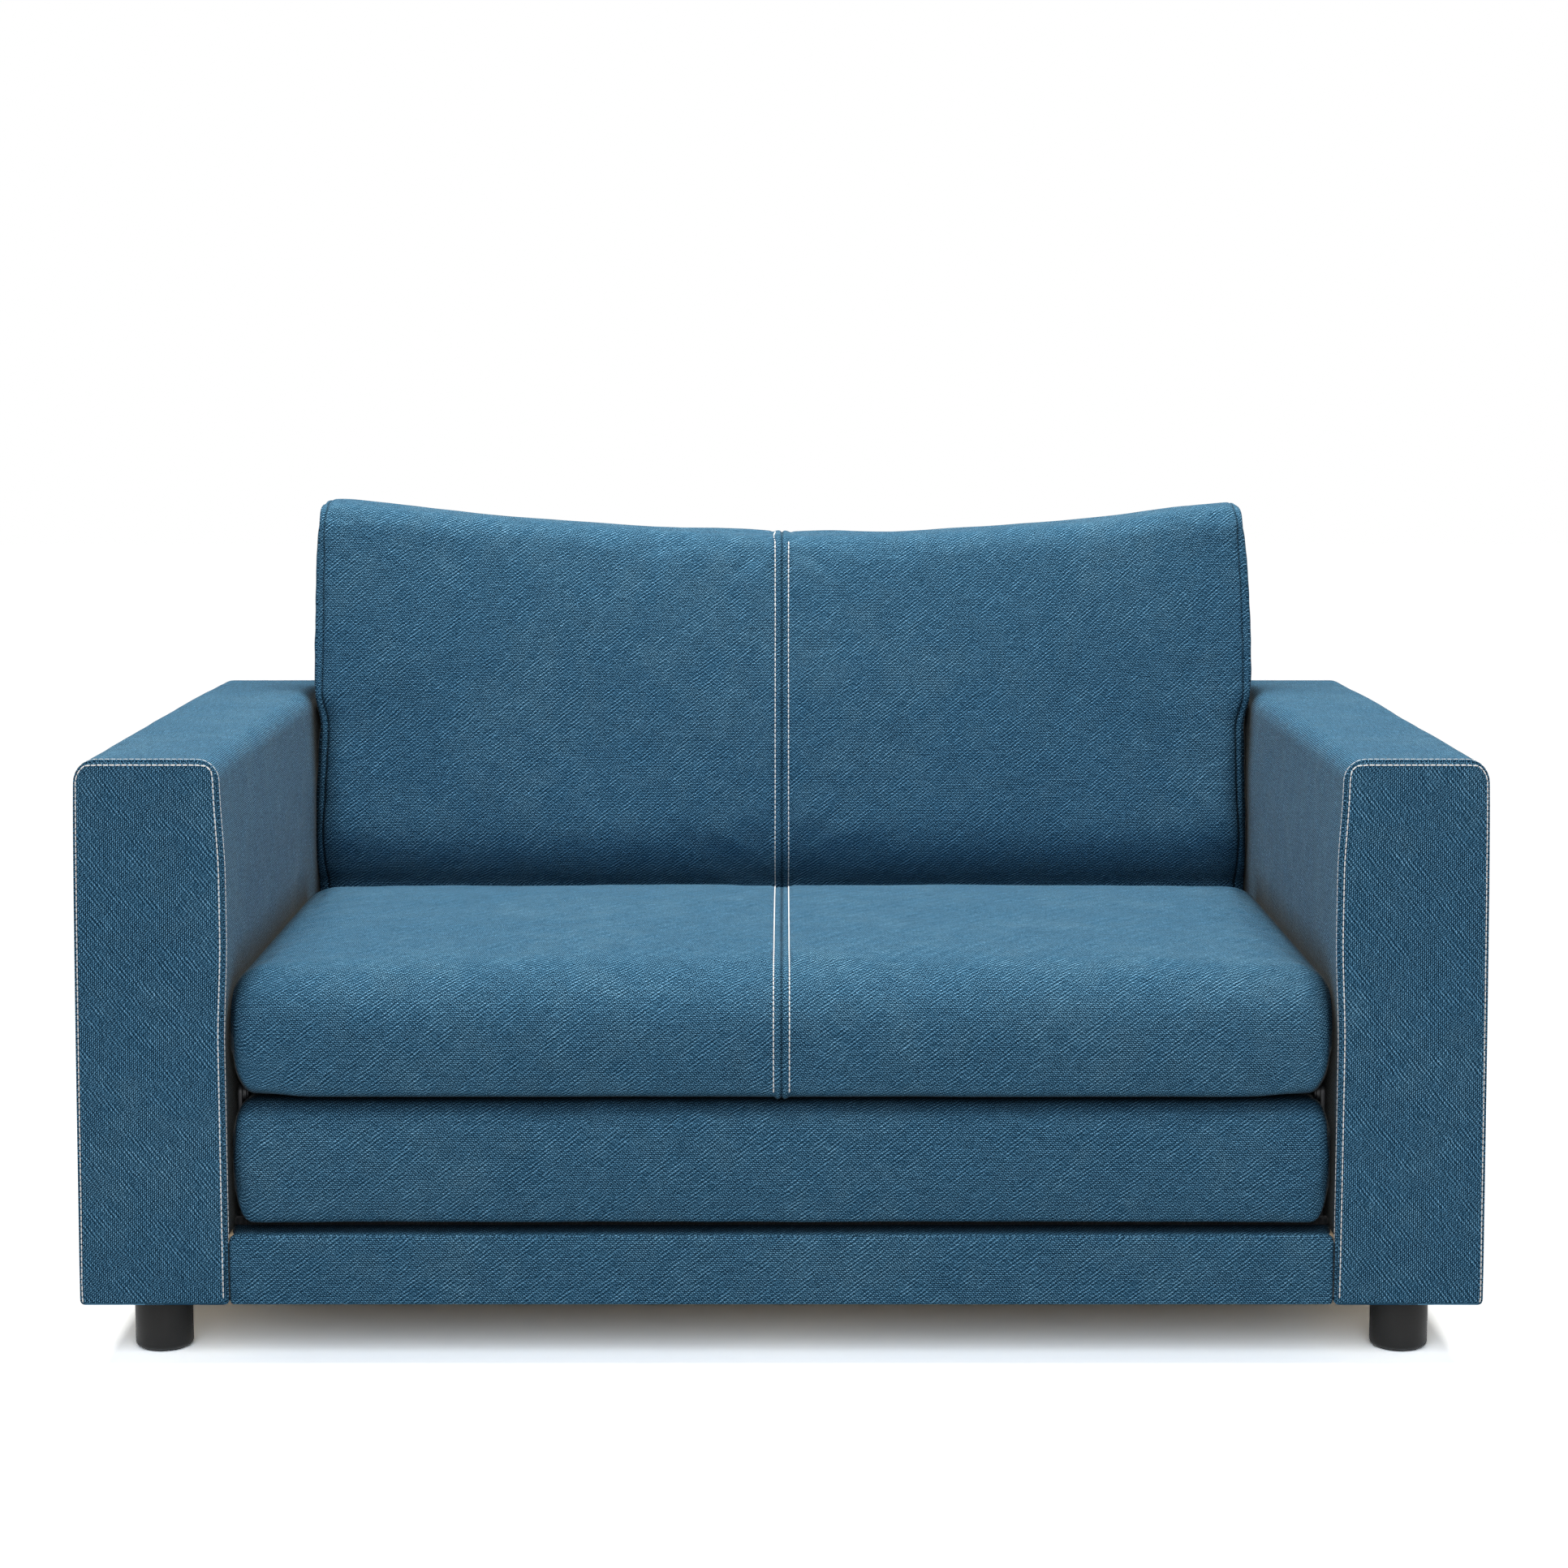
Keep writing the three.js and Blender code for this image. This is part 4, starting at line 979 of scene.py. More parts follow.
def shape_arm(cover, rest, low, high, outward):
    """The arm's soft swell, its seams and the slow waves of its cloth."""
    points = rest.copy()
    x, y, z = rest.T
    wall = ARM_WALL - NEAR
    in_cavity = (x > low.x + wall) & (x < high.x - wall) & (y > low.y + wall) & (y < high.y - wall)
    in_cavity &= z < high.z - wall
    skin = ~in_cavity
    normals = get_normals(cover)
    points[:, 0] += skin * arm_shift(x, z, low, high, outward)
    panel = swell(x, low.x, high.x, 4) * swell(z, low.z, high.z, 8)
    front_depth, rear_depth = y - low.y, high.y - y
    points[:, 1] -= PANEL_SWELL * panel * (front_depth < 0.1 * MM)
    points[:, 1] += PANEL_SWELL * panel * (rear_depth < 0.1 * MM)
    points[:, 2] -= ARM_TOP_DIP * ramp(y, 200 * MM, 440 * MM) * (z > high.z - 30 * MM) * skin
    depth = np.minimum(front_depth, rear_depth)
    loops = PANEL_ROUND * (1 - np.cos(np.radians((22.5, 45, 67.5))))
    on_seam = np.abs(depth - loops[1]) < 0.2 * MM
    beside = (np.abs(depth - loops[0]) < 0.15 * MM) | (np.abs(depth - loops[2]) < 0.3 * MM)
    wave = 0.6 * MM * ripple(rest, 90 * MM, 5) + 0.3 * MM * ripple(rest, 35 * MM, 6)
    wave *= ramp(depth, 0, 60 * MM)
    push = wave - ARM_SEAM_DEPTH * on_seam + ARM_SEAM_LIP * beside
    set_points(cover, points + normals * (push * skin)[:, None])


def panel_line(low, high, outward, gaps, corner, y, foot_z):
    """A line round an arm's end panel, up one side, over the top and down the other."""
    outer_gap, top_gap, inner_gap = gaps
    outer_x = (high.x if outward > 0 else low.x) - outward * outer_gap
    inner_x = (low.x if outward > 0 else high.x) + outward * inner_gap
    top_z = high.z - top_gap
    line = [(outer_x, foot_z), (outer_x, top_z - corner)]
    for a in np.linspace(0, math.pi / 2, 12)[1:]:
        line.append((outer_x - outward * corner * (1 - math.cos(a)), top_z - corner * (1 - math.sin(a))))
    line.append((inner_x + outward * corner, top_z))
    for a in np.linspace(0, math.pi / 2, 12)[1:]:
        line.append((inner_x + outward * corner * (1 - math.sin(a)), top_z - corner * (1 - math.cos(a))))
    line.append((inner_x, foot_z))
    return dense([(x, y, z) for x, z in line], 2 * MM)


def on_skin(tree, points):
    """Each point moved to the nearest place on a skin."""
    return np.array([tuple(tree.find_nearest(Vector(p))[0]) for p in points])


def stitch_arm(cover, side, low, high, outward, sizes):
    """Two rows of stitches beside each end panel's seam: one on the panel, one on the arm's band."""
    tree = BVHTree.FromObject(cover, bpy.context.evaluated_depsgraph_get())
    foot_z = low.z + 1.5 * MM
    rows = []
    for end_y, way in ((low.y, 1), (high.y, -1)):
        gaps = (2.2 * MM, 4.6 * MM, 5 * MM)
        panel = panel_line(low, high, outward, gaps, 8 * MM, end_y - way * 4 * MM, foot_z)
        panel[:, 0] += arm_shift(panel[:, 0], panel[:, 2], low, high, outward)
        rows.append(dense(on_skin(tree, panel)))
        band_y = end_y + way * (PANEL_ROUND + 1.6 * MM)
        band = panel_line(low, high, outward, (0, 0, 0), ARM_TOP_ROUND, band_y, foot_z)
        band[:, 0] += arm_shift(band[:, 0], band[:, 2], low, high, outward)
        rows.append(dense(on_skin(tree, band)))
    sew_rows(f"arm_{side}_stitching", rows, cover, sizes, "frame", (1.15, 0.85))


def make_back_cover():
    """The upholstered shell of the raked back."""
    low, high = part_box("back_cover")
    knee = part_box("rear_section_pad")[1].z
    lean = BACK_RAKE * (high.z - knee)
    cover = named_block("back_frame_cloth", low, high)
    cut_grid(cover, 2, knee, knee, GRID)
    pick(cover, "VERT", lambda v: abs(v.co.z - high.z) < NEAR and abs(v.co.y - low.y) < NEAR)
    bpy.ops.transform.translate(value=(0, lean, 0))
    pick(cover, "FACE", lambda f: all_at(f, 2, low.z))
    bpy.ops.mesh.inset(thickness=BACK_WALL)
    bpy.ops.mesh.extrude_region_move(TRANSFORM_OT_translate={"value": (0, 0, knee - low.z)})
    bpy.ops.mesh.extrude_region_move(TRANSFORM_OT_translate={"value": (0, 0, high.z - BACK_WALL - knee)})
    inner_top = high.z - BACK_WALL
    inner_front = low.y + BACK_WALL
    pick(cover, "VERT", lambda v: abs(v.co.z - inner_top) < NEAR and abs(v.co.y - inner_front) < NEAR)
    bpy.ops.transform.translate(value=(0, BACK_RAKE * (inner_top - knee), 0))
    pick(cover, "EDGE", lambda e: all_at(e, 2, high.z) and abs(e.verts[0].co.y - e.verts[1].co.y) < NEAR)
    bpy.ops.mesh.bevel(offset=14 * MM, segments=6, affect="EDGES")

    def is_side_edge(edge):
        rear = all_at(edge, 1, high.y) and (all_at(edge, 0, low.x) or all_at(edge, 0, high.x))
        return rear or (all_at(edge, 2, low.z) and all_at(edge, 1, high.y))

    pick(cover, "EDGE", is_side_edge)
    bpy.ops.mesh.bevel(offset=4 * MM, segments=3, affect="EDGES")
    bpy.ops.object.mode_set(mode="OBJECT")
    cut_grid(cover, 0, low.x + 20 * MM, high.x - 20 * MM, 1.4 * GRID)
    cut_grid(cover, 2, low.z + 20 * MM, high.z - 24 * MM, 1.4 * GRID)
    rest = get_points(cover)
    x, y, z = rest.T
    normals = get_normals(cover)
    rear = y > high.y - 0.2 * MM
    top = z > high.z - 0.2 * MM
    puff = 4 * MM * swell(x, low.x, high.x, 6) * swell(z, low.z, high.z, 4) * rear
    puff += 1.5 * MM * swell(x, low.x, high.x, 6) * top
    wave = (0.8 * MM * ripple(rest, 120 * MM, 8) + 0.3 * MM * ripple(rest, 40 * MM, 9)) * (rear | top)
    lay_cloth_by_side(cover)
    set_points(cover, rest + normals * (puff + wave)[:, None])
    soften(cover, 60)
    finish(cover, "frame", [MATERIALS["cloth"]], ["back_cover"])


def make_apron():
    """The low upholstered rail under the bed layers: cloth folded over, under and around it."""
    low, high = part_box("apron_cover")
    free_hands()
    bpy.ops.mesh.primitive_plane_add(size=1, location=(0, 0, 0))
    apron = bpy.context.object
    apron.name = apron.data.name = "apron_cloth"
    pick(apron, "VERT", lambda v: v.co.y > 0)
    bpy.ops.mesh.delete(type="VERT")
    half = high.x
    bpy.ops.object.mode_set(mode="OBJECT")
    points = get_points(apron)
    points[:, 0] = np.where(points[:, 0] < 0, -half, half)
    points[:, 1:] = (high.y, low.z)
    set_points(apron, points)
    pick(apron, "EDGE", lambda e: True)
    moves = [(0, low.y - high.y, 0), (0, 0, high.z - low.z), (0, high.y - low.y, 0)]
    for move in moves:
        bpy.ops.mesh.extrude_region_move(TRANSFORM_OT_translate={"value": move})
    pick(apron, "EDGE", lambda e: all_at(e, 1, low.y) and all_at(e, 2, high.z))
    bpy.ops.mesh.bevel(offset=9 * MM, segments=6, affect="EDGES")
    pick(apron, "EDGE", lambda e: all_at(e, 1, low.y) and all_at(e, 2, low.z))
    bpy.ops.mesh.bevel(offset=3.5 * MM, segments=3, affect="EDGES")
    bpy.ops.object.mode_set(mode="OBJECT")
    face_outwards(apron)
    front = [face for face in apron.data.polygons if abs(face.normal.y) > 0.9]
    if front and front[0].normal.y > 0:
        apron.data.flip_normals()
    cut_grid(apron, 0, -half + 1.5 * MM, -half + 9 * MM, 1.5 * MM)
    cut_grid(apron, 0, half - 9 * MM, half - 1.5 * MM, 1.5 * MM)
    cut_grid(apron, 0, -half + 20 * MM, half - 20 * MM, 14 * MM)
    cut_grid(apron, 2, low.z + 8 * MM, high.z - 14 * MM, 8 * MM)
    with_modifier(apron, "SOLIDIFY", thickness=APRON_WALL, offset=-1, use_even_offset=True)
    rest = get_points(apron)
    x, y, z = rest.T
    front = (y < low.y + 1 * MM) & (z > low.z + 4 * MM)
    outer = (y < low.y + 0.5 * MM) | (z > high.z - 0.5 * MM) | ((z < low.z + 0.5 * MM) & (y < low.y + 8 * MM))
    swollen_front = 1.2 * MM * swell(z, low.z, high.z, 2) * front
    wave = (0.6 * MM * ripple(rest, 80 * MM, 11) + 0.35 * MM * ripple(rest, 30 * MM, 12)) * front
    from_end = half - np.abs(x)
    tuck = end_drop(from_end, 6 * MM, 4 * MM, 2) * outer
    points = rest.copy()
    points[:, 1] += tuck - swollen_front - wave
    upper = ramp(z, high.z - 14 * MM, high.z - 7 * MM)
    points[:, 2] -= end_drop(from_end, 9 * MM, 8 * MM, 2) * upper
    points[:, 2] += end_drop(from_end, 4 * MM, 3.5 * MM, 2) * ramp(z, low.z + 8 * MM, low.z + 3 * MM)
    points[:, 2] -= APRON_EDGE_DROP * upper * ramp(y, low.y + 26 * MM, low.y + 12 * MM)
    set_points(apron, points)
    lay_cloth_by_side(apron)
    soften(apron, 60)
    finish(apron, "frame", [MATERIALS["cloth"]], ["apron_cover"])


# Timber, steel and plastic


def eased(node, name, width, body, material, segments=2, degrees=30):
    """A CAD node remade with its edges eased, so that they catch the light."""
    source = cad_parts[node]
    mesh = source.data.copy()
    piece = bpy.data.objects.new(name, mesh)
    mesh.name = name
    bpy.context.scene.collection.objects.link(piece)
    take(piece)
    bpy.ops.object.mode_set(mode="EDIT")
    bpy.ops.mesh.select_all(action="SELECT")
    bpy.ops.mesh.remove_doubles(threshold=1e-5)
    bpy.ops.mesh.dissolve_limited(angle_limit=math.radians(1))
    bpy.ops.object.mode_set(mode="OBJECT")
    with_modifier(
        piece,
        "BEVEL",
        width=width,
        segments=segments,
        limit_method="ANGLE",
        angle_limit=math.radians(degrees),
        use_clamp_overlap=True,
    )
    soften(piece, 40)
    return finish(piece, body, [material], [node])


def make_feet():
    """Four turned feet, each with a thin glide under it."""
    for end in ("front", "rear"):
        for side in SIDES:
            node = f"foot_{end}_{side}"
            low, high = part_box(node)
            centre = (low + high) / 2
            radius = (high.x - low.x) / 2
            glide = 2 * MM
            free_hands()
            bpy.ops.mesh.primitive_cylinder_add(
                vertices=56,
                radius=radius,
                depth=high.z - low.z - glide,
                location=(centre.x, centre.y, (high.z + low.z + glide) / 2),
            )
            foot = settle(bpy.context.object)
            foot.name = foot.data.name = f"{node}_turned"
            low_z = low.z + glide
            pick(foot, "EDGE", lambda e: all_at(e, 2, low_z))
            bpy.ops.mesh.bevel(offset=5 * MM, segments=5, affect="EDGES")
            pick(foot, "FACE", lambda f: all_at(f, 2, low_z))
            bpy.ops.mesh.inset(thickness=1.5 * MM)
            bpy.ops.mesh.extrude_region_move(TRANSFORM_OT_translate={"value": (0, 0, -glide)})
            pick(foot, "EDGE", lambda e: all_at(e, 2, high.z))
            bpy.ops.mesh.bevel(offset=0.8 * MM, segments=2, affect="EDGES")
            bpy.ops.object.mode_set(mode="OBJECT")
            soften(foot, 40)
            finish(foot, "frame", [MATERIALS["plastic"]], [node])


def make_timber():
    """The sofa's timber frame, with the saw's sharp edges eased."""
    along = {"x": [], "y": [], "z": []}
    for side in SIDES:
        along["y"] += [f"arm_base_board_{side}", f"arm_top_rail_{side}", f"base_side_rail_{side}"]
        along["z"] += [f"arm_front_post_{side}", f"arm_rear_post_{side}", f"back_post_{side}"]
    along["y"].append("centre_beam")
    along["x"] += ["back_top_rail", "back_base_rail", "front_rail", "rear_rail"]
    along["x"] += [f"base_slat_{k}" for k in range(1, 6)]
    for axis, nodes in along.items():
        for node in nodes:
            eased(node, f"{node}_sawn", 1.2 * MM, "frame", MATERIALS[f"timber_{axis}"])
    board, black = "rear_section_board", MATERIALS["lining"]
    lining = eased(board, "rear_section_lining", 1.5 * MM, "frame", black)
    points = get_points(lining)
    front = points[:, 1] < points[:, 1].min() + 3 * MM
    points[:, 1] += LINING_SETBACK * front
    set_points(lining, points)


def make_bed_frame():
    """The steel frame, slats and board that unfold with the bed."""
    steel, slot = MATERIALS["painted_steel"], "black_steel"
    for node in ("seat_frame_front", "seat_frame_rear", "seat_frame_side_left", "seat_frame_side_right"):
        eased(node, f"{node}_tube", 2.4 * MM, "seat_section", steel, segments=3)
    for k in range(1, 4):
        node = f"seat_slat_{k}"
        eased(node, f"{node}_sprung", 1.6 * MM, "seat_section", MATERIALS["plywood"], segments=3)
    board = "middle_section_board"
    eased(board, f"{board}_ply", 1.2 * MM, "middle_section", MATERIALS["plywood"])
    for end in ("rear", "front"):
        body = f"{end}_legs"
        for part in ("axle", "left", "right"):
            node = f"{end}_leg_{part}"
            eased(node, f"{node}_tube", 0.6 * MM, body, steel, degrees=25)


def make_hinges():
    """Main hinges at the fold and butt hinges at the seat's rear edge."""
    black, black_slot = MATERIALS["painted_steel"], "black_steel"
    zinc, slot = MATERIALS["zinc_steel"], "zinc_steel"
    for side in SIDES:
        for part, body in (("bracket", "frame"), ("arm", "middle_section")):
            node = f"main_hinge_{part}_{side}"
            eased(node, f"{node}_plate", 0.5 * MM, body, black)
        for section in ("middle", "seat"):
            node = f"butt_hinge_{section}_leaf_{side}"
            eased(node, f"{node}_pressed", 0.3 * MM, f"{section}_section", zinc)


# Materials

MATERIALS = {}


class Graph:
    """Adds shader nodes to one node tree and wires them."""

    def __init__(self, tree):
        self.tree = tree

    def node(self, kind, **settings):
        made = self.tree.nodes.new(kind)
        for name, value in settings.items():
            setattr(made, name, value)
        return made

    def wire(self, socket, value):
        if isinstance(value, bpy.types.NodeSocket):
            self.tree.links.new(value, socket)
        else:
            socket.default_value = value

    def math(self, operation, *values):
        made = self.node("ShaderNodeMath", operation=operation)
        for socket, value in zip(made.inputs, values):
            self.wire(socket, value)
        return made.outputs[0]

    def vector(self, operation, *values):
        made = self.node("ShaderNodeVectorMath", operation=operation)
        sockets = made.inputs[:3] if operation != "SCALE" else (made.inputs[0], made.inputs["Scale"])
        for socket, value in zip(sockets, values):
            self.wire(socket, value)
        return made.outputs["Value"] if operation == "DOT_PRODUCT" else made.outputs["Vector"]

    def noise(self, vector, scale, detail=2.0, roughness=0.5, output="Fac"):
        made = self.node("ShaderNodeTexNoise")
        self.wire(made.inputs["Vector"], vector)
        made.inputs["Scale"].default_value = scale
        made.inputs["Detail"].default_value = detail
        made.inputs["Roughness"].default_value = roughness
        return made.outputs[output]

    def remap(self, value, low, high, new_low, new_high, smooth=False):
        made = self.node("ShaderNodeMapRange")
        if smooth:
            made.interpolation_type = "SMOOTHSTEP"
        for socket, number in zip(made.inputs, (value, low, high, new_low, new_high)):
            self.wire(socket, number)
        return made.outputs[0]

    def mix(self, factor, first, second):
        made = self.node("ShaderNodeMix", data_type="RGBA")
        self.wire(made.inputs[0], factor)
        self.wire(made.inputs[6], first)
        self.wire(made.inputs[7], second)
        return made.outputs[2]

    def total(self, *values):
        result = values[0]
        for value in values[1:]:
            result = self.math("ADD", result, value)
        return result

    def group(self, tree, **values):
        made = self.node("ShaderNodeGroup")
        made.node_tree = tree
        for name, value in values.items():
            self.wire(made.inputs[name.replace("_", " ")], value)
        return made.outputs


def effect_group(name, inputs, outputs):
    """A new node group with named inputs and outputs."""
    tree = bpy.data.node_groups.new(name, "ShaderNodeTree")
    kinds = {"vector": "NodeSocketVector", "colour": "NodeSocketColor", "value": "NodeSocketFloat"}
    for socket_name, kind, default in inputs:
        socket = tree.interface.new_socket(name=socket_name, in_out="INPUT", socket_type=kinds[kind])
        socket.default_value = default
    for socket_name, kind in outputs:
        tree.interface.new_socket(name=socket_name, in_out="OUTPUT", socket_type=kinds[kind])
    graph = Graph(tree)
    source, sink = graph.node("NodeGroupInput"), graph.node("NodeGroupOutput")
    return graph, source.outputs, sink.inputs


# Waves of the weave: cycles per millimetre along and across the rows, strength, and which zones show them.
WEAVE_WAVES = [
    (0.0, 0.508, 1.1, "rows"),
    (-0.148, 0.216, 0.54, "twill"),
    (-0.203, 0.253, 0.5, "twill"),
    (0.473, 0.143, 0.55, "rows"),
    (0.320, 0.361, 0.8, "rows"),
    (0.148, 0.216, 0.3, "twill"),
]


def build_weave_group():
    """A coarse twill of melange yarn. Its coordinate is in metres on the cloth."""
    graph, given, wanted = effect_group(
        "Twill weave",
        [
            ("Coordinate", "vector", (0, 0, 0)),
            ("Place", "vector", (0, 0, 0)),
            ("Colour", "colour", (0.037, 0.112, 0.19, 1)),
            ("Worn colour", "colour", (0.12, 0.24, 0.32, 1)),
            ("Contrast", "value", 0.6),
            ("Clouds", "value", 0.3),
        ],
        [("Colour", "colour"), ("Height", "value")],
    )
    spot = graph.vector("SCALE", given["Coordinate"], 1000.0)
    drift = graph.vector("SUBTRACT", graph.noise(spot, 0.03, 1, output="Color"), (0.5, 0.5, 0.5))
    wobble = graph.vector("SUBTRACT", graph.noise(spot, 0.11, 1, output="Color"), (0.5, 0.5, 0.5))
    jitter = graph.vector("SUBTRACT", graph.noise(spot, 0.45, 1, output="Color"), (0.5, 0.5, 0.5))
    straight = graph.vector("ADD", spot, graph.vector("SCALE", drift, 2.4))
    bent = graph.vector("ADD", straight, graph.vector("SCALE", wobble, 1.8))
    bent = graph.vector("ADD", bent, graph.vector("SCALE", jitter, 0.6))
    zone = graph.noise(spot, 0.03, 2)
    zones = {
        "rows": graph.remap(zone, 0.4, 0.6, 0.6, 1.1),
        "twill": graph.remap(zone, 0.4, 0.6, 1.1, 0.6),
    }
    patchy = graph.remap(graph.noise(spot, 0.22, 1), 0.3, 0.7, 0.7, 1.25)
    waves = []
    for along, across, strength, zone_name in WEAVE_WAVES:
        direction = (2 * math.pi * along, 2 * math.pi * across, 0)
        wave = graph.math("SINE", graph.vector("DOT_PRODUCT", straight if along == 0 else bent, direction))
        wave = graph.math("MULTIPLY", wave, strength)
        waves.append(graph.math("MULTIPLY", wave, zones[zone_name]))
    yarn = graph.math("MULTIPLY", graph.total(*waves), patchy)
    dashes = graph.noise(graph.vector("MULTIPLY", bent, (0.33, 0.7, 1)), 1.0, 2, 0.6)
    dashes = graph.math("MULTIPLY", graph.math("SUBTRACT", dashes, 0.5), 2.4)
    grain = graph.math("MULTIPLY", graph.math("SUBTRACT", graph.noise(spot, 1.1, 1), 0.5), 1.8)
    slubs = graph.noise(graph.vector("MULTIPLY", straight, (0.045, 0.5, 1)), 1.0, 1)
    slubs = graph.math("MULTIPLY", graph.math("SUBTRACT", slubs, 0.5), 1.0)
    relief = graph.remap(graph.total(yarn, dashes, slubs, grain), -2.8, 2.8, -1.4, 1.4, smooth=True)
    loud = graph.math("MULTIPLY", patchy, zones["rows"])
    loud = graph.math("MULTIPLY", graph.math("MULTIPLY", loud, loud), LOUD_SHARE)
    evened = graph.math("SUBTRACT", relief, loud)
    stops = graph.math("MULTIPLY", evened, given["Contrast"])
    shade = graph.node("ShaderNodeCombineXYZ")
    for socket, strength in zip(shade.inputs, FIBRE_STRENGTH):
        graph.wire(socket, graph.math("POWER", 2.0, graph.math("MULTIPLY", stops, strength)))
    cloud = graph.total(
        graph.math("MULTIPLY", graph.noise(given["Place"], 7.0, 3, 0.55), 0.6),
        graph.math("MULTIPLY", graph.noise(given["Place"], 28.0, 2, 0.6), 0.4),
    )
    cloud = graph.remap(cloud, 0.38, 0.66, -0.4, 1.0)
    worn = graph.mix(graph.math("MULTIPLY", cloud, given["Clouds"]), given["Colour"], given["Worn colour"])
    graph.wire(wanted["Colour"], graph.vector("MULTIPLY", worn, shade.outputs[0]))
    graph.wire(wanted["Height"], relief)
    return graph.tree


def build_grain_group():
    """Sawn softwood. The grain runs along X of the coordinate, in metres."""
    graph, given, wanted = effect_group(
        "Wood grain",
        [
            ("Coordinate", "vector", (0, 0, 0)),
            ("Early wood", "colour", (0.6, 0.42, 0.24, 1)),
            ("Late wood", "colour", (0.4, 0.24, 0.12, 1)),
        ],
        [("Colour", "colour"), ("Height", "value")],
    )
    stretched = graph.vector("MULTIPLY", given["Coordinate"], (1.4, 22, 22))
    bands = graph.noise(stretched, 1.0, 3, 0.55)
    rings = graph.math("SINE", graph.math("MULTIPLY", bands, 40.0))
    rings = graph.remap(rings, -1, 1, 0, 1, smooth=True)
    fibres = graph.noise(graph.vector("MULTIPLY", given["Coordinate"], (30, 700, 700)), 1.0, 2)
    streak = graph.math("ADD", graph.math("MULTIPLY", rings, 0.55), graph.math("MULTIPLY", fibres, 0.45))
    graph.wire(wanted["Colour"], graph.mix(streak, given["Early wood"], given["Late wood"]))
    graph.wire(wanted["Height"], fibres)
    return graph.tree


def new_material(name, roughness, specular=0.5, metallic=0.0):
    """A material with a Principled shader, its graph and the piece's own coordinates."""
    material = bpy.data.materials.new(name)
    material.use_nodes = True
    material.node_tree.nodes.clear()
    graph = Graph(material.node_tree)
    output = graph.node("ShaderNodeOutputMaterial")
    shader = graph.node("ShaderNodeBsdfPrincipled")
    graph.wire(output.inputs["Surface"], shader.outputs["BSDF"])
    shader.inputs["Roughness"].default_value = roughness
    shader.inputs["Specular IOR Level"].default_value = specular
    shader.inputs["Metallic"].default_value = metallic
    place = graph.node("ShaderNodeTexCoord").outputs["Object"]
    return material, graph, shader, place


def add_bump(graph, shader, height, strength, distance):
    bump = graph.node("ShaderNodeBump")
    bump.inputs["Strength"].default_value = strength
    bump.inputs["Distance"].default_value = distance
    graph.wire(bump.inputs["Height"], height)
    graph.wire(shader.inputs["Normal"], bump.outputs["Normal"])


def cloth_material(colours, weave, name, seam_shaded=False, shaded_side_seam=None):
    """The blue cloth, with painted shade from ambient occlusion in its creases. The seam-shaded kind has a
    line of painted shade where two panels meet at the sofa's middle, and can have one near its ends, on the
    cloth."""
    material, graph, shader, place = new_material(name, 0.9, 0.04)
    coordinate = graph.node("ShaderNodeUVMap", uv_map=CLOTH_UV).outputs["UV"]
    made = graph.group(
        weave,
        Coordinate=coordinate,
        Place=place,
        Colour=(*colours.cloth, 1),
        Worn_colour=(*colours.cloth_worn, 1),
        Contrast=1.9,
        Clouds=0.12,
    )
    colour = made["Colour"]
    # Painted shade: a dark line along the groove of the middle seam
    if seam_shaded:
        parts = graph.node("ShaderNodeSeparateXYZ")
        graph.wire(parts.inputs[0], place)
        shade = graph.remap(graph.math("ABSOLUTE", parts.outputs["X"]), 0.3 * MM, 1.2 * MM, 0.5, 1.0)
        colour = graph.vector("SCALE", colour, shade)
    # Painted shade: a dark line along the groove of the seam near the cushion's ends
    if shaded_side_seam:
        parts = graph.node("ShaderNodeSeparateXYZ")
        graph.wire(parts.inputs[0], coordinate)
        from_seam = graph.math("SUBTRACT", graph.math("ABSOLUTE", parts.outputs["X"]), shaded_side_seam)
        shade = graph.remap(graph.math("ABSOLUTE", from_seam), 0.3 * MM, 1.6 * MM, 0.45, 1.0)
        colour = graph.vector("SCALE", colour, shade)
    # Painted shade: ambient occlusion darkens the cloth's colour in creases, recesses and where parts meet
    crease_shade = graph.node("ShaderNodeAmbientOcclusion", samples=8)
    crease_shade.inputs["Distance"].default_value = CREASE_SHADE_REACH
    shade = graph.remap(crease_shade.outputs["AO"], CREASE_SHADE_SHUT, CREASE_SHADE_OPEN, CREASE_SHADE_TONE, 1.0)
    colour = graph.vector("SCALE", colour, shade)
    graph.wire(shader.inputs["Base Color"], colour)
    shader.inputs["Sheen Weight"].default_value = SHEEN_WEIGHT
    shader.inputs["Sheen Roughness"].default_value = SHEEN_ROUGHNESS
    shader.inputs["Sheen Tint"].default_value = SHEEN_TINT
    add_bump(graph, shader, made["Height"], 0.4, 0.25 * MM)
    return material


def lining_material(colours, weave):
    material, graph, shader, place = new_material("Black lining", 0.95, 0.15)
    made = graph.group(
        weave,
        Coordinate=place,
        Place=place,
        Colour=(*colours.lining, 1),
        Worn_colour=(*(3 * part for part in colours.lining), 1),
        Contrast=0.7,
        Clouds=0.3,
    )
    graph.wire(shader.inputs["Base Color"], made["Colour"])
    shader.inputs["Sheen Weight"].default_value = 0.1
    add_bump(graph, shader, made["Height"], 0.4, 0.2 * MM)
    return material


def thread_material(colours):
    material, graph, shader, place = new_material("Off-white thread", 0.6, 0.3)
    twist = graph.noise(place, 2500.0, 2)
    pale = (*colours.thread, 1)
    shaded = (*(part * 0.8 for part in colours.thread), 1)
    graph.wire(shader.inputs["Base Color"], graph.mix(twist, shaded, pale))
    add_bump(graph, shader, twist, 0.5, 0.1 * MM)
    return material


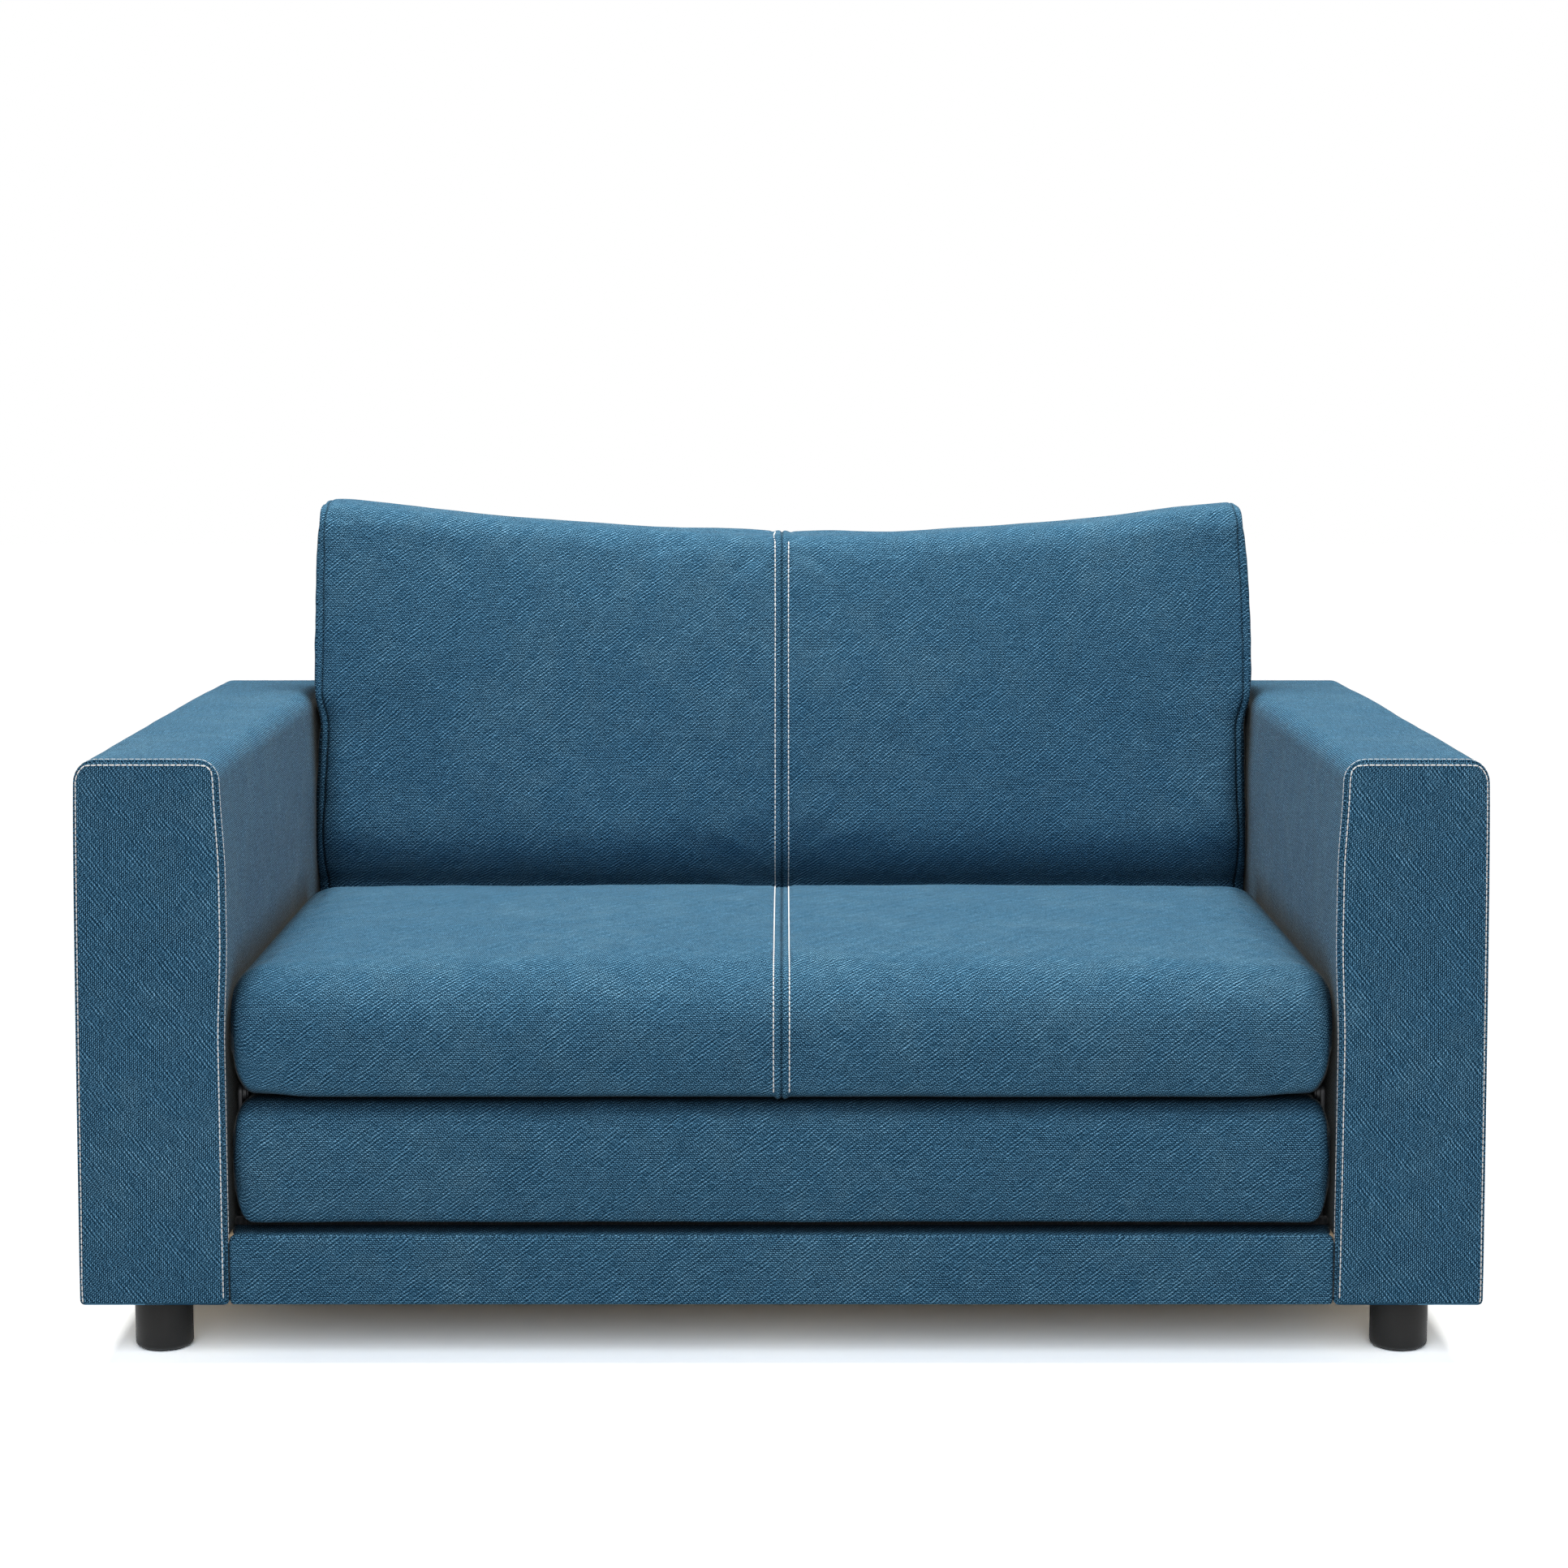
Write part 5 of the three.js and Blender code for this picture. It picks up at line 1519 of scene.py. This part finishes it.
def timber_material(colours, grain, axis):
    material, graph, shader, place = new_material(f"Timber along {axis}", 0.7, 0.3)
    turn = {"x": (0, 0, 0), "y": (0, 0, -math.pi / 2), "z": (0, math.pi / 2, 0)}[axis]
    mapping = graph.node("ShaderNodeMapping")
    mapping.inputs["Rotation"].default_value = turn
    graph.wire(mapping.inputs["Vector"], place)
    late = (*(part * 0.62 for part in colours.timber), 1)
    made = graph.group(grain, Coordinate=mapping.outputs[0], Early_wood=(*colours.timber, 1), Late_wood=late)
    graph.wire(shader.inputs["Base Color"], made["Colour"])
    graph.wire(shader.inputs["Roughness"], graph.remap(made["Height"], 0, 1, 0.6, 0.8))
    add_bump(graph, shader, made["Height"], 0.3, 0.2 * MM)
    return material


def plywood_material(colours, grain):
    """Plywood: grain on its faces and thin plies on its edges."""
    material, graph, shader, place = new_material("Plywood", 0.6, 0.35)
    late = (*(part * 0.7 for part in colours.plywood), 1)
    made = graph.group(grain, Coordinate=place, Early_wood=(*colours.plywood, 1), Late_wood=late)
    parts = graph.node("ShaderNodeSeparateXYZ")
    graph.wire(parts.inputs[0], place)
    plies = graph.math("SINE", graph.math("MULTIPLY", parts.outputs["Z"], 2 * math.pi / (2.8 * MM)))
    plies = graph.remap(plies, -0.2, 0.2, 0, 1)
    edge = graph.mix(plies, (*(part * 0.42 for part in colours.plywood), 1), made["Colour"])
    normal = graph.node("ShaderNodeNewGeometry").outputs["Normal"]
    facing = graph.node("ShaderNodeSeparateXYZ")
    turned = graph.node("ShaderNodeVectorTransform", vector_type="NORMAL")
    turned.convert_from, turned.convert_to = "WORLD", "OBJECT"
    graph.wire(turned.inputs[0], normal)
    graph.wire(facing.inputs[0], turned.outputs[0])
    upright = graph.math("ABSOLUTE", facing.outputs["Z"])
    on_face = graph.remap(upright, 0.4, 0.6, 0, 1)
    graph.wire(shader.inputs["Base Color"], graph.mix(on_face, edge, made["Colour"]))
    add_bump(graph, shader, made["Height"], 0.2, 0.15 * MM)
    return material


def steel_material(colours):
    material, graph, shader, place = new_material("Black powder coat", 0.45, 0.5)
    speckle = graph.noise(place, 1400.0, 2)
    dark = (*colours.steel, 1)
    light = (*(part * 1.6 for part in colours.steel), 1)
    dust = graph.remap(graph.noise(place, 18.0, 3), 0.45, 0.7, 0, 0.6)
    graph.wire(shader.inputs["Base Color"], graph.mix(dust, dark, light))
    graph.wire(shader.inputs["Roughness"], graph.remap(speckle, 0.3, 0.7, 0.38, 0.58))
    add_bump(graph, shader, speckle, 0.35, 0.1 * MM)
    return material


def zinc_material(colours):
    material, graph, shader, place = new_material("Zinc plate", 0.35, 0.5, 1.0)
    spangle = graph.node("ShaderNodeTexVoronoi")
    graph.wire(spangle.inputs["Vector"], place)
    spangle.inputs["Scale"].default_value = 260.0
    tone = graph.remap(spangle.outputs["Distance"], 0, 0.8, 0, 1)
    dark = (*(part * 0.8 for part in colours.zinc), 1)
    graph.wire(shader.inputs["Base Color"], graph.mix(tone, (*colours.zinc, 1), dark))
    graph.wire(shader.inputs["Roughness"], graph.remap(graph.noise(place, 90.0, 3), 0.3, 0.7, 0.26, 0.46))
    return material


def plastic_material(colours):
    material, graph, shader, place = new_material("Black moulded plastic", 0.5, 0.3)
    grain = graph.noise(place, 900.0, 2)
    haze = graph.remap(graph.noise(place, 30.0, 2), 0.35, 0.7, 0, 1)
    dark = (*colours.foot, 1)
    light = (*(part * 1.35 for part in colours.foot), 1)
    graph.wire(shader.inputs["Base Color"], graph.mix(haze, dark, light))
    graph.wire(shader.inputs["Roughness"], graph.remap(grain, 0.3, 0.7, 0.42, 0.6))
    add_bump(graph, shader, grain, 0.2, 0.1 * MM)
    return material


def make_materials(colours):
    weave, grain = build_weave_group(), build_grain_group()
    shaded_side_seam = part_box("back_cushion")[1].x - EDGE_SEAM
    # The seam-shaded kinds carry painted shade along their seams, and all three carry painted shade in their
    # creases
    MATERIALS["cloth"] = cloth_material(colours, weave, "Blue twill cloth")
    MATERIALS["seam_shaded_cloth"] = cloth_material(colours, weave, "Blue twill cloth, seamed", True)
    MATERIALS["boxed_cloth"] = cloth_material(colours, weave, "Blue twill cloth, boxed", True, shaded_side_seam)
    MATERIALS["lining"] = lining_material(colours, weave)
    MATERIALS["thread"] = thread_material(colours)
    for axis in "xyz":
        MATERIALS[f"timber_{axis}"] = timber_material(colours, grain, axis)
    MATERIALS["plywood"] = plywood_material(colours, grain)
    MATERIALS["painted_steel"] = steel_material(colours)
    MATERIALS["zinc_steel"] = zinc_material(colours)
    MATERIALS["plastic"] = plastic_material(colours)


# Stage


def seen_directly(graph):
    """One where the camera looks straight, through glass or in a mirror, else nothing."""
    path = graph.node("ShaderNodeLightPath").outputs
    seen = graph.math("MAXIMUM", path["Is Camera Ray"], path["Is Glossy Ray"])
    return graph.math("MAXIMUM", seen, path["Is Transmission Ray"])


def make_floor():
    """A floor that the camera sees white, but for the shadow under the sofa."""
    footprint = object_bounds()[1]
    free_hands()
    bpy.ops.mesh.primitive_plane_add(size=FLOOR_SIZE, location=(0, 0, 0))
    floor = settle(bpy.context.object)
    floor.name = floor.data.name = "studio_floor"
    material, graph, shader, place = new_material("Studio floor", 0.9, 0.1)
    tone = graph.remap(graph.noise(place, 3.0, 2), 0.3, 0.7, 0, 1)
    pale = graph.mix(tone, (FLOOR_TONE, FLOOR_TONE, FLOOR_TONE, 1), (*(FLOOR_TONE * 1.03,) * 3, 1))
    seen = seen_directly(graph)
    parts = graph.node("ShaderNodeSeparateXYZ")
    graph.wire(parts.inputs[0], place)
    beyond = []
    for axis, reach in zip("XY", footprint):
        beyond.append(graph.math("SUBTRACT", graph.math("ABSOLUTE", parts.outputs[axis]), reach))
    outside = graph.remap(graph.math("MAXIMUM", *beyond), SHADOW_IN, SHADOW_OUT, 0, 1, smooth=True)
    far = graph.math("SQRT", graph.vector("DOT_PRODUCT", place, place))
    far = graph.remap(far, FAR_START, FAR_END, 0, 1, smooth=True)
    near_tone = graph.remap(outside, 0, 1, FLOOR_UNDER, FLOOR_AROUND)
    tone = graph.math("MULTIPLY", near_tone, graph.math("SUBTRACT", 1.0, far))
    glow = graph.math("MULTIPLY", outside, graph.remap(far, 0, 1, FLOOR_GLOW, 1))
    white = graph.vector("SCALE", FLOOR_TINT, tone)
    graph.wire(shader.inputs["Base Color"], graph.mix(seen, pale, white))
    shader.inputs["Emission Color"].default_value = (1, 1, 1, 1)
    graph.wire(shader.inputs["Emission Strength"], graph.math("MULTIPLY", seen, glow))
    floor.data.materials.append(material)
    floor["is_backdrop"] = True


def make_world(brightness):
    world = bpy.data.worlds.new("Studio world")
    bpy.context.scene.world = world
    world.use_nodes = True
    world.node_tree.nodes.clear()
    graph = Graph(world.node_tree)
    output = graph.node("ShaderNodeOutputWorld")
    lit, seen = graph.node("ShaderNodeBackground"), graph.node("ShaderNodeBackground")
    lit.inputs["Color"].default_value = (1, 1, 1, 1)
    lit.inputs["Strength"].default_value = brightness
    seen.inputs["Color"].default_value = (1, 1, 1, 1)
    seen.inputs["Strength"].default_value = 1
    direct = seen_directly(graph)
    mixer = graph.node("ShaderNodeMixShader")
    graph.wire(mixer.inputs[0], direct)
    graph.wire(mixer.inputs[1], lit.outputs[0])
    graph.wire(mixer.inputs[2], seen.outputs[0])
    graph.wire(output.inputs["Surface"], mixer.outputs[0])


def add_lamp(name, location, target, size, power, colour):
    light = bpy.data.lights.new(name, "AREA")
    light.shape = "RECTANGLE"
    light.size, light.size_y = size
    light.energy = power
    light.color = colour
    lamp = bpy.data.objects.new(name, light)
    bpy.context.scene.collection.objects.link(lamp)
    lamp.location = location
    lamp.rotation_euler = (Vector(target) - Vector(location)).to_track_quat("-Z", "Y").to_euler()


def make_stage(stage):
    """The pale floor, the soft light and the camera."""
    make_floor()
    make_world(stage.world_light)
    add_lamp("overhead_softbox", (0, 0.1, 3.2), (0, 0, 0), (3.6, 2.6), stage.overhead_power, (1, 0.96, 0.88))
    add_lamp("front_softbox", (0, -4.2, 2.6), (0, 0, 0.3), (2.6, 3), stage.front_power, (0.97, 1, 1.04))
    camera = bpy.data.objects.new("camera", bpy.data.cameras.new("camera"))
    bpy.context.scene.collection.objects.link(camera)
    camera.data.sensor_width = CAMERA_SENSOR
    camera.data.lens = CAMERA_LENS
    camera.location = CAMERA_PLACE
    camera.rotation_euler = (CAMERA_TILT, 0, 0)
    bpy.context.scene.camera = camera
    bpy.context.scene.view_settings.view_transform = "Standard"


# Add-on


def colour_property(name, description, default):
    return bpy.props.FloatVectorProperty(
        name=name, description=description, default=default, subtype="COLOR", size=3, min=0, max=1
    )


class SofaColours(bpy.types.PropertyGroup):
    """Colours that a user may change."""

    cloth: colour_property("Cloth", "Colour of the upholstery cloth", (0.0300, 0.0990, 0.176))
    cloth_worn: colour_property("Brushed cloth", "Colour where the cloth is brushed", (0.10, 0.22, 0.30))
    thread: colour_property("Thread", "Colour of the contrast stitching", (0.97, 0.98, 1.0))
    lining: colour_property("Lining", "Colour of the lining under the second layer", (0.012, 0.012, 0.013))
    timber: colour_property("Timber", "Colour of the sawn frame", (0.5, 0.39, 0.26))
    plywood: colour_property("Plywood", "Colour of the board and slats", (0.62, 0.45, 0.27))
    steel: colour_property("Painted steel", "Colour of the bed frame", (0.018, 0.019, 0.021))
    zinc: colour_property("Zinc plate", "Colour of the hinges", (0.6, 0.62, 0.64))
    foot: colour_property("Feet", "Colour of the moulded feet", (0.012, 0.012, 0.012))


class SofaSizes(bpy.types.PropertyGroup):
    """Sizes of the sewing that a user may change."""

    stitch_pitch: bpy.props.FloatProperty(
        name="Stitch pitch",
        description="From one stitch to the next",
        default=6.1 * MM,
        min=2 * MM,
        unit="LENGTH",
    )
    thread_radius: bpy.props.FloatProperty(
        name="Thread radius",
        description="Half the thread's thickness",
        default=0.6 * MM,
        min=0.2 * MM,
        unit="LENGTH",
    )


class SofaStage(bpy.types.PropertyGroup):
    """Light that a user may change."""

    world_light: bpy.props.FloatProperty(
        name="World light",
        description="Brightness of the even light from all round",
        default=0.1,
        min=0,
    )
    overhead_power: bpy.props.FloatProperty(
        name="Overhead softbox",
        description="Power of the lamp above the sofa",
        default=168,
        min=0,
        unit="POWER",
    )
    front_power: bpy.props.FloatProperty(
        name="Front softbox",
        description="Power of the lamp before the sofa",
        default=76,
        min=0,
        unit="POWER",
    )


class SOFA_OT_materials(bpy.types.Operator):
    """Makes the cloth, thread, timber, steel and plastic"""

    bl_idname = "sofa.materials"
    bl_label = "Materials"

    def execute(self, context):
        make_materials(context.scene.sofa_colours)
        return {"FINISHED"}


class SOFA_OT_seat_pad(bpy.types.Operator):
    """Sews the seat with its front lip and centre seam"""

    bl_idname = "sofa.seat_pad"
    bl_label = "Seat pad"

    def execute(self, context):
        make_seat_pad(context.scene.sofa_sizes)
        return {"FINISHED"}


class SOFA_OT_bed_pads(bpy.types.Operator):
    """Sews the second layer and the hidden middle layer of the bed"""

    bl_idname = "sofa.bed_pads"
    bl_label = "Bed pads"

    def execute(self, context):
        make_rear_pad()
        make_middle_pad()
        return {"FINISHED"}


class SOFA_OT_back_cushion(bpy.types.Operator):
    """Sews the loose back cushion"""

    bl_idname = "sofa.back_cushion"
    bl_label = "Back cushion"

    def execute(self, context):
        make_back_cushion(context.scene.sofa_sizes)
        return {"FINISHED"}


class SOFA_OT_arms(bpy.types.Operator):
    """Upholsters both arms and sews their end panels"""

    bl_idname = "sofa.arms"
    bl_label = "Arms"

    def execute(self, context):
        for side in SIDES:
            make_arm(side, context.scene.sofa_sizes)
        return {"FINISHED"}


class SOFA_OT_covers(bpy.types.Operator):
    """Upholsters the back and the apron"""

    bl_idname = "sofa.covers"
    bl_label = "Back and apron"

    def execute(self, context):
        make_back_cover()
        make_apron()
        return {"FINISHED"}


class SOFA_OT_feet(bpy.types.Operator):
    """Turns the four feet"""

    bl_idname = "sofa.feet"
    bl_label = "Feet"

    def execute(self, context):
        make_feet()
        return {"FINISHED"}


class SOFA_OT_timber(bpy.types.Operator):
    """Eases the edges of the timber frame"""

    bl_idname = "sofa.timber"
    bl_label = "Timber frame"

    def execute(self, context):
        make_timber()
        return {"FINISHED"}


class SOFA_OT_bed_frame(bpy.types.Operator):
    """Makes the folding bed frame, its slats, board and legs"""

    bl_idname = "sofa.bed_frame"
    bl_label = "Bed frame"

    def execute(self, context):
        make_bed_frame()
        return {"FINISHED"}


class SOFA_OT_hinges(bpy.types.Operator):
    """Makes the hinges of the fold"""

    bl_idname = "sofa.hinges"
    bl_label = "Hinges"

    def execute(self, context):
        make_hinges()
        return {"FINISHED"}


class SOFA_OT_stage(bpy.types.Operator):
    """Sets up the floor, the light and the camera"""

    bl_idname = "sofa.stage"
    bl_label = "Stage"

    def execute(self, context):
        make_stage(context.scene.sofa_stage)
        return {"FINISHED"}


OPERATORS = [
    SOFA_OT_materials,
    SOFA_OT_seat_pad,
    SOFA_OT_bed_pads,
    SOFA_OT_back_cushion,
    SOFA_OT_arms,
    SOFA_OT_covers,
    SOFA_OT_feet,
    SOFA_OT_timber,
    SOFA_OT_bed_frame,
    SOFA_OT_hinges,
    SOFA_OT_stage,
]
GROUPS = {"sofa_colours": SofaColours, "sofa_sizes": SofaSizes, "sofa_stage": SofaStage}


class SOFA_PT_pieces(bpy.types.Panel):
    """Lists the sofa's pieces and their settings"""

    bl_idname = "SOFA_PT_pieces"
    bl_label = "Sleeper sofa"
    bl_space_type = "VIEW_3D"
    bl_region_type = "UI"
    bl_category = "Sofa"

    def draw(self, context):
        for name, group in GROUPS.items():
            settings = getattr(context.scene, name)
            for field in group.__annotations__:
                self.layout.prop(settings, field)
        for operator in OPERATORS:
            self.layout.operator(operator.bl_idname)


def register():
    for made in (*GROUPS.values(), *OPERATORS, SOFA_PT_pieces):
        bpy.utils.register_class(made)
    for name, group in GROUPS.items():
        setattr(bpy.types.Scene, name, bpy.props.PointerProperty(type=group))


def unregister():
    for name in GROUPS:
        delattr(bpy.types.Scene, name)
    for made in (SOFA_PT_pieces, *reversed(OPERATORS), *reversed(list(GROUPS.values()))):
        bpy.utils.unregister_class(made)


def main():
    register()
    bpy.ops.sofa.materials()
    bpy.ops.sofa.seat_pad()
    bpy.ops.sofa.bed_pads()
    bpy.ops.sofa.back_cushion()
    bpy.ops.sofa.arms()
    bpy.ops.sofa.covers()
    bpy.ops.sofa.feet()
    bpy.ops.sofa.timber()
    bpy.ops.sofa.bed_frame()
    bpy.ops.sofa.hinges()
    bpy.ops.sofa.stage()
    free_hands()


if __name__ == "__main__":
    main()
